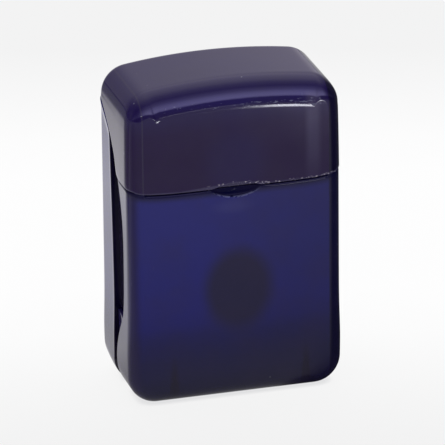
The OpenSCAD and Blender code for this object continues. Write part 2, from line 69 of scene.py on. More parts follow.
# Half the thumbnail scoop's width, its height in the body and in the lid, its depth
SCOOP_HALF, SCOOP_H, SCOOP_LID, SCOOP_DEPTH = 4.2, 1.5, 0.5, 0.62
FILM, BEAD = 0.3, 0.25
HINGE_Y, HINGE_Z, HINGE_LEN = Y_BACK - BEAD, 44.0, 20.0
BASE_Y, BASE_Z, BASE_LEN = RIM_Y + RIM_SWEEP - 0.05, STEP + FILM / 2, 18.0
Y_NECK = Y_LID + LID_WALL + 0.2
DECK, DECK_LOW, DECK_RIM = 40.5, 39.3, 0.8
EAR_OUT = STEP + EAR_GAP
EAR_IN = EAR_OUT + EAR_WALL
EAR_FRONT = Y_FRONT + 2.8
TRAY = HW - EAR_IN - 0.2
Y_TRAY = Y_BACK - WALL_BACK - 0.25
LIP_LOW, LIP_HIGH = HINGE_Z - FILM / 2 - 0.2, HINGE_Z + BEAD
COVER_TOP = LIP_LOW - 0.35
Y_IN = Y_FRONT + WALL_FRONT
SPOOL_Z, SPOOL_A = 15.5, Y_IN + 0.5
SPOOL_B = SPOOL_A + 10.6
POST, HUB, FLANGE_R, FLANGE = 2.0, 3.1, 5.9, 0.7
WOUND, STRAND = 4.9, 0.45
HELIX_R = WOUND + 0.04 + STRAND / 2
WIND_A, WIND_B = SPOOL_A + FLANGE, SPOOL_B - FLANGE
CLIP_W, CLIP_D, STEEL = 11.0, 4.6, 0.25
SEAT_TOP = DECK + 1.4
TOOTH_Y, TOOTH_HALF = Y_NECK + 2.3, 1.5
EXIT_Y, EXIT_R, COLLAR = 1.0, 0.9, 0.6


# ---------------------------------------------------------------------------------------------
# Curves shared by the pieces
# ---------------------------------------------------------------------------------------------
def bezier(p, c, d, q, n=24):
    t = np.linspace(0, 1, n + 1)[:, None]
    u = 1 - t
    p, c, d, q = (np.array(v, float) for v in (p, c, d, q))
    return u ** 3 * p + 3 * u * u * t * c + 3 * u * t * t * d + t ** 3 * q


def run(start, *spans):
    """Line from start through Bezier spans, each given as (handle, handle, end, steps)."""
    parts = [np.array([start], float)]
    for c, d, q, n in spans:
        parts.append(bezier(parts[-1][-1], c, d, q, n)[1:])
    return np.vstack(parts)


# Lower edge of the lid's side, bow in the front body's side, rim of the back cover, as (y, z)
SIDE_EDGE = run((-8.0, 33.3),
                ((-6.0, 33.55), (-4.6, 33.5), (-3.7, 33.5), 8),
                ((-1.4, 33.5), (-1.7, 34.6), (-0.9, 36.1), 24),
                ((-0.5, 36.95), (0.1, 37.6), (RIM_Y, LID_MID + 0.15), 24),
                ((RIM_Y + 1.4, LID_MID + 1.55), (Y_BACK - 3.6, HINGE_Z - 2.25),
                 (Y_BACK + 1, HINGE_Z + 0.7), 24))
BOW_TOP = (RIM_Y - 2.05, LID_EDGE + LID_RISE + 1.5)
BOW_END = (BOW_Y + 1.5, BOW_LOW)
BOW = np.vstack([
    run(BOW_TOP,
        ((BOW_TOP[0] - 1.95, BOW_TOP[1] - 3.8), (BOW_Y, BOW_Z + 5.3), (BOW_Y, BOW_Z), 24),
        ((BOW_Y, BOW_Z - 6.0), (BOW_Y + 0.1, BOW_LOW + 1.2), BOW_END, 24),
        ((BOW_END[0] + 0.7, BOW_LOW - 0.8), (BOW_Y + 3.6, 8.0), (BOW_Y + 4.1, 5.5), 12),
        ((BOW_Y + 4.3, 4.0), (BOW_Y + 3.1, 2.0), (BOW_Y + 3.0, 0.8), 8)),
    [(BOW_Y + 3.0, -1.0)]])[::-1]
RIM = np.vstack([[(1.6, -1.0)],
                 run((1.6, 2.0), ((1.4, 3.6), (0.9, 5.0), (0.9, 8.5), 12),
                     ((0.9, 16.0), (1.25, 24.0), (2.1, 38.0), 24))])


def bow_y(z):
    return np.interp(z, BOW[:, 1], BOW[:, 0])


def rim_y(z):
    return np.interp(z, RIM[:, 1], RIM[:, 0])


def smooth_max(a, b, r=0.12):
    return 0.5 * (a + b + np.sqrt((a - b) ** 2 + r * r))


def smooth_min(a, b, r):
    return 0.5 * (a + b - np.sqrt((a - b) ** 2 + r * r))


def sigmoid(v):
    return 1 / (1 + np.exp(v))


def lid_edge(x, y):
    """Height of the lid's lower edge at that place."""
    front = LID_EDGE - 0.12 + 1.7 * LID_RISE * (np.abs(x) / (HW + 1)) ** 6
    side = np.interp(y, SIDE_EDGE[:, 0], SIDE_EDGE[:, 1], left=LID_EDGE - 1.2)
    return smooth_max(front, side)


def scoop_edge(x):
    """The lid's front edge, raised over the thumbnail scoop."""
    r = ((0.76 * SCOOP_HALF) ** 2 + SCOOP_LID ** 2) / (2 * SCOOP_LID)
    arc = LID_EDGE + SCOOP_LID - r + np.sqrt(np.maximum(r * r - np.asarray(x, float) ** 2, 0))
    return smooth_max(lid_edge(x, Y_LID), arc, 0.05)


def lid_back_edge(x):
    """The lid's back edge, raised over the hinge."""
    wide = sigmoid((np.abs(x) - HINGE_LEN / 2 - 1.3) / 0.12)
    return lid_edge(HW, Y_BACK) + wide * (HINGE_Z + 0.35 - lid_edge(HW, Y_BACK))


def belly(x, z):
    """How far the sides stand out over the base."""
    return 0.16 * np.exp(-((z - 7.0) / 4.5) ** 2) * np.clip(x / HW, 0, 1) ** 8


def solve_end(y_of_z, top_of_y, low, high):
    """Height at which a row that lies at y_of_z(z) meets the edge top_of_y(y)."""
    for _ in range(50):
        mid = (low + high) / 2
        if mid < top_of_y(y_of_z(mid)):
            low = mid
        else:
            high = mid
    return (low + high) / 2


# ---------------------------------------------------------------------------------------------
# Mesh kit: grids of points that are welded where their borders meet
# ---------------------------------------------------------------------------------------------
WELD = 0.0006
# Height over an edge that is given to pieces without one
NO_EDGE = 5.0


def grid(bm, rows, wrap=False):
    made = [[bm.verts.new(p) for p in row] for row in rows]
    for a, b in zip(made, made[1:]):
        n = len(a)
        for j in range(n if wrap else n - 1):
            k = (j + 1) % n
            bm.faces.new((a[j], a[k], b[k], b[j]))
    return made


def cap(bm, points):
    bm.faces.new([bm.verts.new(p) for p in points])


def place(name, data):
    """Object with that data, put into the scene."""
    made = bpy.data.objects.new(name, data)
    bpy.context.scene.collection.objects.link(made)
    return made


def to_mesh(name, bm):
    mesh = bpy.data.meshes.new(name)
    bm.to_mesh(mesh)
    bm.free()
    return mesh


def piece(name, bm, material, sharp=38, weighted=True, rim=None):
    """Turns a mesh in millimetres into a smooth shaded object in metres. rim gives each point's
    height over an edge, for the material."""
    bmesh.ops.remove_doubles(bm, verts=bm.verts, dist=WELD)
    bmesh.ops.dissolve_degenerate(bm, edges=bm.edges, dist=WELD / 4)
    bmesh.ops.recalc_face_normals(bm, faces=bm.faces)
    layer = bm.verts.layers.float.new("rim")
    for vert in bm.verts:
        vert[layer] = NO_EDGE if rim is None else float(rim(*vert.co))
    bmesh.ops.scale(bm, vec=(0.001, 0.001, 0.001), verts=bm.verts)
    mesh = to_mesh(name, bm)
    for face in mesh.polygons:
        face.use_smooth = True
    mesh.set_sharp_from_angle(angle=math.radians(sharp))
    mesh.materials.append(material)
    made = place(name, mesh)
    if weighted:
        weigh = made.modifiers.new("weighted", "WEIGHTED_NORMAL")
        weigh.keep_sharp = True
        weigh.weight = 60
    return made


def line(x, y, z):
    """Row of points. A number counts for all of them."""
    return np.column_stack(np.broadcast_arrays(x, y, z))


def other(points):
    """The same points on the left, in reverse order."""
    return (points * np.array([-1, 1, 1]))[::-1]


def mirrored(half):
    """A row over x >= 0 that ends at x = 0, completed on the left."""
    half = np.asarray(half, float)
    return np.vstack([half, other(half[:-1])])


def heads_of(rows):
    return np.array([half[0] for half in rows])


def unit(v):
    return v / np.maximum(np.linalg.norm(v, axis=-1, keepdims=True), 1e-9)


def rim_rows(s0, b, i, t0, rho, mids=(), rho_in=None):
    """Rows of a rounded rim, from the outer face's border s0 round the corner b to the inner
    corner i and its border t0."""
    s0, b, i, t0 = (np.asarray(v, float) for v in (s0, b, i, t0))
    rho_in = rho if rho_in is None else rho_in
    rho, rho_in = (np.broadcast_to(np.asarray(r, float), (len(b),))[:, None]
                   for r in (rho, rho_in))
    w = unit(i - b)
    turn = np.linspace(0, math.pi / 2, 6)
    rows = [b + (1 - math.sin(a)) * (s0 - b) + rho * (1 - math.cos(a)) * w for a in turn]
    rows += list(mids)
    rows += [i + (1 - math.sin(a)) * (t0 - i) - rho_in * (1 - math.cos(a)) * w
             for a in turn[::-1]]
    return rows


def over_half(i, z_end, i_top=None):
    """Right half of the lid's outline above z_end, as (x, z) from low to top middle, drawn in by
    i at the side and by i_top at the crown."""
    i_top = i if i_top is None else i_top
    n_side, n_corner, n_crown = 14, 16, 16
    start = math.asin(min(1.0, max(0.0, z_end - CORNER_Z) / (R_TOP - i)))
    z = np.linspace(min(z_end, CORNER_Z), CORNER_Z, n_side + 1)[:-1]
    x = HW - i + LID_FLARE * np.sqrt((CORNER_Z - z) / (CORNER_Z - LID_EDGE))
    if start > 0:
        # The end lies on the rounding itself
        z, x = np.full(n_side, z_end), np.full(n_side, CROWN_A + (R_TOP - i) * math.cos(start))
    a = np.linspace(start, CROWN_T, n_corner + 1)
    c = np.linspace(CROWN_T, math.pi / 2, n_crown + 1)[1:]
    r = R_TOP - i - (i_top - i) * (a / CROWN_T) ** 2
    return np.vstack([
        np.column_stack([x, z]),
        np.column_stack([CROWN_A + r * np.cos(a), CORNER_Z + r * np.sin(a)]),
        np.column_stack([(CROWN_R - i_top) * np.cos(c), CROWN_Z + (CROWN_R - i_top) * np.sin(c)])])


def under_half(i, z_end, n_side=56, power=1.25, base=R_BASE):
    """Right half of the outline below z_end, drawn in by i, from z_end down to base middle."""
    n_corner, n_base = 14, 10
    t = np.linspace(0, 1, n_side + 1)[:-1] ** power
    z = z_end + (base - z_end) * t
    a = np.linspace(0, -math.pi / 2, n_corner + 1)
    x = np.linspace(HW - base, 0, n_base + 1)[1:]
    return np.vstack([
        np.column_stack([np.full(len(z), HW - i), z]),
        np.column_stack([HW - base + (base - i) * np.cos(a), base + (base - i) * np.sin(a)]),
        np.column_stack([x, np.full(len(x), i)])])


def with_y(half, y):
    """Puts a depth into rows of (x, z). y is a number or a function of x and z."""
    x, z = half[:, 0], half[:, 1]
    return line(x, y(x, z) if callable(y) else y, z)


# ---------------------------------------------------------------------------------------------
# Solids from profiles, cut and joined, for the inside of the case
# ---------------------------------------------------------------------------------------------
def solid(profile, axis, low, high):
    """Prism of a profile: (y, z) along x, (x, z) along y, or (x, y) along z."""
    bm = bmesh.new()
    put = {"x": lambda p, h: (h, p[0], p[1]), "y": lambda p, h: (p[0], h, p[1]),
           "z": lambda p, h: (p[0], p[1], h)}[axis]
    rings = grid(bm, [[put(p, h) for p in profile] for h in (low, high)], wrap=True)
    bm.faces.new(rings[0])
    bm.faces.new(rings[1][::-1])
    bmesh.ops.recalc_face_normals(bm, faces=bm.faces)
    return bm


def block(x0, x1, y0, y1, z0, z1):
    return solid([(x0, y0), (x1, y0), (x1, y1), (x0, y1)], "z", z0, z1)


def exit_rod(radius, low, high, n=72):
    """Upright rod about the hole that the floss comes up through."""
    turn = [2 * math.pi * k / n for k in range(n)]
    return solid([(radius * math.cos(a), EXIT_Y + radius * math.sin(a)) for a in turn],
                 "z", low, high)


def combine(bm, how, *others):
    """Joins, cuts or intersects a closed mesh with others, one after another."""
    for extra in others:
        made = [place(f"work_{k}", to_mesh(f"work_{k}", part))
                for k, part in enumerate((bm, extra))]
        mod = made[0].modifiers.new("work", "BOOLEAN")
        mod.operation = how
        mod.object = made[1]
        mod.solver = "EXACT"
        graph = bpy.context.evaluated_depsgraph_get()
        bm = bmesh.new()
        bm.from_mesh(made[0].evaluated_get(graph).to_mesh())
        for ob in made:
            mesh = ob.data
            bpy.data.objects.remove(ob)
            bpy.data.meshes.remove(mesh)
    return bm


def bevel(bm, width, segments=3, angle=30):
    """Rounds the sharp edges of a cut solid."""
    bmesh.ops.remove_doubles(bm, verts=bm.verts, dist=0.002)
    bmesh.ops.dissolve_limit(bm, angle_limit=math.radians(0.6), verts=bm.verts, edges=bm.edges)
    edges = [e for e in bm.edges if len(e.link_faces) == 2
             and e.calc_face_angle(0) > math.radians(angle)]
    bmesh.ops.bevel(bm, geom=edges, offset=width, offset_type="OFFSET", segments=segments,
                    profile=0.5, affect="EDGES", clamp_overlap=True)
    return bm


def tube(path, radius, sides, flat=1.0, turn=0.0):
    """Round or flattened strand along a path, closed at both ends."""
    bm = bmesh.new()
    tangent = unit(np.gradient(path, axis=0))
    ref = np.array([0.13, 0.31, 0.94])
    normal = unit(ref - (ref @ tangent[0]) * tangent[0])
    radii, turns = (np.broadcast_to(v, len(path)) for v in (radius, turn))
    rows = []
    for p, t, r, twist in zip(path, tangent, radii, turns):
        normal = unit(normal - (normal @ t) * t)
        side = np.cross(t, normal)
        a = np.linspace(0, 2 * math.pi, sides, endpoint=False) + twist
        rows.append(p + r * (np.cos(a)[:, None] * normal + flat * np.sin(a)[:, None] * side))
    made = grid(bm, rows, wrap=True)
    bm.faces.new(made[0][::-1])
    bm.faces.new(made[-1])
    return bm


def lathe(profile, n):
    """Turns a closed profile of (radius, y) about the bobbin's axis."""
    bm = bmesh.new()
    rows = []
    for k in range(n + 1):
        a = 2 * math.pi * k / n
        rows.append([(r * math.sin(a), y, SPOOL_Z + r * math.cos(a))
                     for r, y in profile + profile[:1]])
    grid(bm, rows)
    return bm


# ---------------------------------------------------------------------------------------------
# Node kit
# ---------------------------------------------------------------------------------------------
class Out:
    """Output of a node. Arithmetic and the methods add nodes behind it."""

    def __init__(self, nodes, socket):
        self.nodes, self.socket = nodes, socket

    def __add__(self, value):
        return self.nodes.math("ADD", self, value)

    def __sub__(self, value):
        return self.nodes.math("SUBTRACT", self, value)

    def __rsub__(self, value):
        return self.nodes.math("SUBTRACT", value, self)

    def __mul__(self, value):
        return self.nodes.math("MULTIPLY", self, value)

    def __truediv__(self, value):
        return self.nodes.math("DIVIDE", self, value)

    __rmul__ = __mul__

    def line(self, slope, start):
        return self.nodes.math("MULTIPLY_ADD", self, slope, start)

    def above(self, level):
        return self.nodes.math("GREATER_THAN", self, level)

    def below(self, level):
        return self.nodes.math("LESS_THAN", self, level)

    def smooth(self, low, high):
        """0 below low, 1 above high, smooth between."""
        return self.nodes.add(
            "ShaderNodeMapRange", {"Value": self, "From Min": low, "From Max": high}, "Result",
            interpolation_type="SMOOTHSTEP")

    def fade(self, low, high):
        """1 below low, 0 above high, smooth between."""
        return 1.0 - self.smooth(low, high)

    def band(self, low, high, soft):
        """1 between low and high, fading out over soft on both sides."""
        return self.smooth(low - soft, low + soft) * self.fade(high - soft, high + soft)


class Nodes:
    """Node tree of a material or world, built by short calls."""

    def __init__(self, owner, out="ShaderNodeOutputMaterial", space="Object"):
        self.owner = owner
        owner.use_nodes = True
        self.tree = owner.node_tree
        self.tree.nodes.clear()
        self.out = self.tree.nodes.new(out)
        self.at = self.add("ShaderNodeTexCoord", {}, space)

    def put(self, socket, value):
        if isinstance(value, Out):
            self.tree.links.new(value.socket, socket)
        else:
            socket.default_value = (*value, 1) if socket.type == "RGBA" else value

    def add(self, kind, inputs, out, **settings):
        """Adds a node and gives one of its outputs, or a list of those named."""
        node = self.tree.nodes.new(kind)
        for key, value in settings.items():
            setattr(node, key, value)
        for key, value in inputs.items():
            self.put(node.inputs[key], value)
        if isinstance(out, tuple):
            return [Out(self, node.outputs[name]) for name in out]
        return Out(self, node.outputs[out])

    def axes(self):
        return self.add("ShaderNodeSeparateXYZ", {"Vector": self.at}, ("X", "Y", "Z"))

    def math(self, op, a, b=0.0, c=0.0):
        return self.add("ShaderNodeMath", {0: a, 1: b, 2: c}, 0, operation=op)

    def root(self, a, b):
        """Length of a vector with those two parts."""
        return self.math("SQRT", a * a + b * b)

    def noise(self, scale, detail=3.0, rough=0.5, stretch=None):
        at = self.at
        if stretch is not None:
            at = self.add("ShaderNodeMapping", {"Vector": at, "Scale": stretch}, "Vector")
        return self.add("ShaderNodeTexNoise", {"Vector": at, "Scale": scale, "Detail": detail,
                                               "Roughness": rough}, "Fac")

    def ramp(self, value, stops):
        made = self.add("ShaderNodeValToRGB", {"Fac": value}, "Color")
        marks = made.socket.node.color_ramp.elements
        while len(marks) < len(stops):
            marks.new(0.5)
        for mark, (position, colour) in zip(marks, stops):
            mark.position = position
            mark.color = (*colour, 1)
        return made

    def mix(self, factor, a, b, how="MIX"):
        return self.add("ShaderNodeMix", {"Factor": factor, "A": a, "B": b}, "Result",
                        data_type="RGBA", blend_type=how)

    def bump(self, height, distance, strength, normal=None):
        inputs = {"Height": height, "Distance": distance, "Strength": strength}
        if normal is not None:
            inputs["Normal"] = normal
        return self.add("ShaderNodeBump", inputs, "Normal")

    def blend(self, factor, a, b):
        """Mix of two shaders."""
        return self.add("ShaderNodeMixShader", {"Fac": factor, 1: a, 2: b}, "Shader")

    def end(self, shader):
        self.put(self.out.inputs["Surface"], shader)
        return self.owner

    def principled(self, colour, rough, normal, **more):
        """Ends the tree in a Principled shader. Other inputs have _ for the spaces."""
        inputs = {"Base Color": colour, "Roughness": rough, "Normal": normal}
        inputs.update((key.replace("_", " "), value) for key, value in more.items())
        return self.end(self.add("ShaderNodeBsdfPrincipled", inputs, "BSDF"))


def greys(*stops):
    return [(position, (v, v, v)) for position, v in stops]


# ---------------------------------------------------------------------------------------------
# Materials. Their lengths are in metres
# ---------------------------------------------------------------------------------------------
# Colour of the case by height, as share of the whole: light passes the thin front wall, and
# less of it comes back where the inside is dark
BODY_TONES = [
    (0.00, (0.0070, 0.0055, 0.028)), (0.04, (0.0070, 0.0060, 0.033)),
    (0.09, (0.0072, 0.0064, 0.046)), (0.13, (0.0075, 0.0068, 0.053)),
    (0.17, (0.0080, 0.0072, 0.066)), (0.21, (0.0085, 0.0080, 0.082)),
    (0.25, (0.0095, 0.0092, 0.115)), (0.31, (0.0110, 0.0108, 0.134)),
    (0.42, (0.0120, 0.0125, 0.140)), (0.50, (0.0140, 0.0145, 0.146)),
    (0.68, (0.0158, 0.0162, 0.150))]
LID_TONES = [
    (0.66, (0.0115, 0.0022, 0.041)), (0.78, (0.0112, 0.0018, 0.039)),
    (0.86, (0.0125, 0.0030, 0.045)), (0.91, (0.0150, 0.0080, 0.062)),
    (0.95, (0.0140, 0.0075, 0.062)), (1.0, (0.0140, 0.0090, 0.066))]
# The ears' tones are darker: painted shade for where they sit set in under the bows
EAR_SHADE_TONES = [(0.0, (0.0050, 0.0030, 0.014)), (0.5, (0.0075, 0.0048, 0.023)),
             (1.0, (0.0070, 0.0045, 0.021))]


def case_plastic(name, kind):
    """Dark translucent navy plastic. kind is body, cover, ear (a copy darkened as painted shade),
    lid or inside.
    """
    n = Nodes(bpy.data.materials.new(name))
    x, y, z = n.axes()
    rim = n.add("ShaderNodeAttribute", {}, "Fac", attribute_name="rim")
    colour = n.ramp(z / (HEIGHT / 1000),
                    {"lid": LID_TONES, "ear": EAR_SHADE_TONES}.get(kind, BODY_TONES))
    front = y.fade(-0.0082, -0.0076)

    def tint(share, tone):
        nonlocal colour
        colour = n.mix(share, colour, tone)

    def blob(cx, cz, rx, rz, soft):
        """1 inside an ellipse in the front view, fading out over soft."""
        return n.root((x - cx) / rx, (z - cz) / rz).fade(1 - soft, 1 + soft)

    if kind == "body":
        # Painted shade: the front grows darker towards the right, away from the light
        tint(x.smooth(-0.008, 0.014) * 0.28, (0.0100, 0.0080, 0.022))
    if kind == "lid":
        # Painted violet glow on the front rounding of the top, where light gathers in the plastic
        rounding_glow = y.fade(-0.0080, -0.0070) * z.band(0.0452, 0.0468, 0.0006)
        tint(rounding_glow * x.band(-0.0120, 0.0120, 0.0015) * 0.5, (0.0150, 0.0095, 0.100))
    if kind in ("body", "lid"):
        # The right hand rounding faces a dark room
        tint(x.smooth(0.01375, 0.0141) * 0.9, (0.0048, 0.0040, 0.020))
    if kind == "body":
        # Painted shade in the dish of the scoop, painted glints along its lower border, pale cloud
        # under it
        dish = blob(0.0, 0.0330, 0.0043, 0.0021, 0.06) * y.smooth(-0.00830, -0.00818)
        tint(dish * 0.92, (0.0008, 0.0010, 0.018))
        ring = n.root(x, z - 0.03775).band(0.00652, 0.00668, 0.00005)
        ring = ring * n.noise(2600, 2, 0.6).above(0.42) * z.smooth(0.0305, 0.0309)
        tint(ring * 0.7, (0.20, 0.21, 0.42))
        tint(blob(-0.0005, 0.0298, 0.0024, 0.0009, 0.7) * 0.5 * front, (0.035, 0.036, 0.165))
        # Painted shade of what lies behind the thin front wall and holds back the light through it:
        # bobbin, gussets, the thicker side walls
        tint(blob(0.0002, 0.0169, 0.0050, 0.0061, 0.28) * 0.92 * front, (0.0118, 0.0095, 0.037))
        for cx in (-0.0096, 0.0103):
            tint(blob(cx, 0.0010, 0.0007, 0.0050, 0.45) * 0.8 * front, (0.0062, 0.0036, 0.018))
        tint(x.fade(-0.0154, -0.0142) * 0.75, (0.0125, 0.0075, 0.042))
        # Shade of the lid's edge over the neck
        tint(0.9 - 0.9 * rim.smooth(0.15, 1.5), (0.0050, 0.0040, 0.026))
    if kind == "lid":
        tint(blob(0.0, 0.0365, 0.0042, 0.0050, 0.5) * 0.7 * front, (0.0120, 0.0060, 0.062))
        # Painted reflection in a pale band on the right, painted highlight in a fine line at the
        # left border of the face
        reflected_band = x.band(0.0106, 0.0125, 0.0006) * z.smooth(0.0300, 0.0415)
        tint(reflected_band * 0.85 * front, (0.050, 0.040, 0.100))
        tint(x.band(-0.01402, -0.01386, 0.00008) * 0.6, (0.040, 0.034, 0.070))
        # Thin lower edge, in which the light gathers, painted as a pale line with painted glints
        tint(rim.fade(0.08, 0.30) * 0.80, (0.055, 0.048, 0.105))
        edge_glints = rim.fade(0.20, 0.42) * n.noise(4200, 2, 0.6, (0.6, 1.0, 1.0)).above(0.60)
        tint(edge_glints * x.smooth(-0.006, -0.001) * 0.75 * front, (0.48, 0.44, 0.52))
    if kind in ("cover", "inside"):
        tint(0.25, (0.012, 0.008, 0.05))
    if kind == "inside":
        # Painted shade in the slot between the scoop and the lid
        tint(z.band(0.0300, 0.0345, 0.0008) * 0.9, (0.0012, 0.0010, 0.010))
    if kind == "cover":
        # Painted highlight in a pale, slightly warm border, and painted shade on the rim
        tint(rim.band(0.16, 0.42, 0.06) * 0.5, (0.19, 0.13, 0.145))
        tint(0.9 - 0.9 * rim.smooth(0.03, 0.12), (0.0045, 0.0028, 0.0100))

    # Slight clouding of the colour in the melt, dust and pale scuffs
    tint(n.noise(160, 3, 0.55).smooth(0.35, 0.72), n.mix(0.22, colour, (0.020, 0.014, 0.045)))
    dust = n.add("ShaderNodeTexVoronoi", {"Vector": n.at, "Scale": 420}, "Distance", feature="F1")
    speck = dust.below(0.055) * n.noise(95, 1, 0.4).above(0.60)
    scuff = n.noise(900, 2, 0.6, (1.0, 1.0, 0.16)).smooth(0.69, 0.76)
    scuff = scuff * n.noise(130, 2).smooth(0.56, 0.7)
    if kind == "lid":
        # Painted glints of a reflected streak along the top of the face, below its rounding
        level = (x - 0.014).line(0.052, z)
        glint_zone = level.band(0.0438, 0.0450, 0.0002) * x.smooth(-0.002, 0.011).line(0.06, 0.05)
        streak_glints = (n.noise(2200, 3, 0.7, (0.55, 1.0, 1.6)) + glint_zone).above(0.70)
        streak_glints = streak_glints * glint_zone.above(0.02) * x.band(-0.0120, 0.0130, 0.0004)
        tint(streak_glints * front * 0.45, (0.26, 0.27, 0.40))
    tint(speck * 0.30, (0.42, 0.42, 0.50))
    tint(scuff * 0.14, (0.30, 0.30, 0.40))
    # Polished mould with a faint waviness
    normal = n.bump(n.noise(75, 2, 0.4), 0.00010, 0.30)
    normal = n.bump(n.noise(1500, 2), 0.000004, 0.35, normal)
    normal = n.bump(speck, 0.00003, 0.5, normal)
    rough = n.add("ShaderNodeMapRange", {
        "Value": n.noise(210, 4, 0.6), "From Min": 0.3, "From Max": 0.75,
        "To Min": 0.06, "To Max": 0.12}, "Result") + scuff * 0.2
    more = {"IOR": 1.5}
    if kind == "body":
        # Little light reaches the dish and the gap under the lid
        rough = rough + dish * 0.06
        hidden = n.math("MAXIMUM", dish * 0.85, 0.6 - 0.6 * rim.smooth(0.30, 0.55))
        more["Specular_IOR_Level"] = hidden.line(-0.5, 0.5)
    return n.principled(colour, rough, normal, **more)


def bobbin_plastic():
    n = Nodes(bpy.data.materials.new("bobbin_plastic"))
    cloud = n.noise(240)
    dirt = n.noise(700, 3, 0.6).smooth(0.6, 0.8)
    colour = n.mix(cloud.smooth(0.3, 0.75), (0.80, 0.80, 0.76), (0.70, 0.70, 0.66))
    colour = n.mix(dirt * 0.25, colour, (0.50, 0.49, 0.45))
    return n.principled(colour, cloud.line(0.25, 0.28), n.bump(n.noise(1800, 2), 0.00001, 0.5),
                        IOR=1.49, Subsurface_Weight=0.12,
                        Subsurface_Radius=(0.0006, 0.0006, 0.0005))


def floss_fibre():
    """Waxed filaments laid along the strand, with a waxy sheen."""
    n = Nodes(bpy.data.materials.new("floss"))
    fibre, clump = n.noise(2600, 4, 0.65), n.noise(900, 2)
    colour = n.mix(fibre.smooth(0.35, 0.7), (0.74, 0.76, 0.72), (0.90, 0.91, 0.88))
    colour = n.mix(clump.smooth(0.5, 0.75) * 0.35, colour, (0.78, 0.80, 0.70))
    normal = n.bump(clump, 0.00004, 0.4, n.bump(fibre, 0.00003, 0.6))
    return n.principled(colour, clump.line(0.3, 0.3), normal, Coat_Weight=0.3,
                        Coat_Roughness=0.3)


def cutter_steel():
    n = Nodes(bpy.data.materials.new("cutter_steel"))
    roll = n.noise(400, 4, 0.6, (0.15, 4.0, 4.0))
    stain = n.noise(220, 3, 0.55).smooth(0.35, 0.75)
    return n.principled(n.mix(stain, (0.56, 0.57, 0.59), (0.46, 0.46, 0.47)),
                        roll.line(0.22, 0.20), n.bump(roll, 0.000012, 0.6), Metallic=1.0)


MAT_BODY = case_plastic("navy_body", "body")
MAT_COVER = case_plastic("navy_cover", "cover")
MAT_EAR_SHADED = case_plastic("navy_ear_shaded", "ear")
MAT_LID = case_plastic("navy_lid", "lid")
MAT_IN = case_plastic("navy_inside", "inside")
MAT_BOBBIN = bobbin_plastic()
MAT_FLOSS = floss_fibre()
MAT_STEEL = cutter_steel()


# ---------------------------------------------------------------------------------------------
# Camera and stage
# ---------------------------------------------------------------------------------------------
def make_camera():
    """Camera fitted to the photograph: a long lens, high and to the left of the front."""
    forward = Vector((0.25581, 0.89405, -0.36774)).normalized()
    right = forward.cross(Vector((0, 0, 1))).normalized()
    up = right.cross(forward)
    aim = Vector((0, 0, 0.024235)) + 0.000233 * right - 0.000198 * up
    distance, roll = 0.9038, Matrix.Rotation(math.radians(-0.616), 4, "Z")
    data = bpy.data.cameras.new("camera")
    data.lens, data.sensor_width = 502.5, 36
    data.clip_start, data.clip_end = 0.01, 20
    camera = bpy.data.objects.new("camera", data)
    turn = Matrix((right, up, -forward)).transposed().to_4x4()
    camera.matrix_world = Matrix.Translation(aim - distance * forward) @ turn @ roll
    bpy.context.scene.collection.objects.link(camera)
    bpy.context.scene.camera = camera


def lamp(name, azimuth, elevation, width, height, radiance, aim_z=0.03):
    """Soft box of that radiance, aimed at the object's axis at aim_z. Azimuth 0 is in front of
    the object, and positive to its right."""
    distance = 0.9
    a, e = math.radians(azimuth), math.radians(elevation)
    data = bpy.data.lights.new(name, "AREA")
    data.shape = "RECTANGLE"
    data.size, data.size_y = width, height
    data.energy = radiance * math.pi * width * height
    ob = place(name, data)
    aim = Vector((0, 0, aim_z))
    at = aim + distance * Vector((math.sin(a) * math.cos(e), -math.cos(a) * math.cos(e),
                                  math.sin(e)))
    ob.location = at
    ob.rotation_euler = (aim - at).to_track_quat("-Z", "Y").to_euler()
    return ob


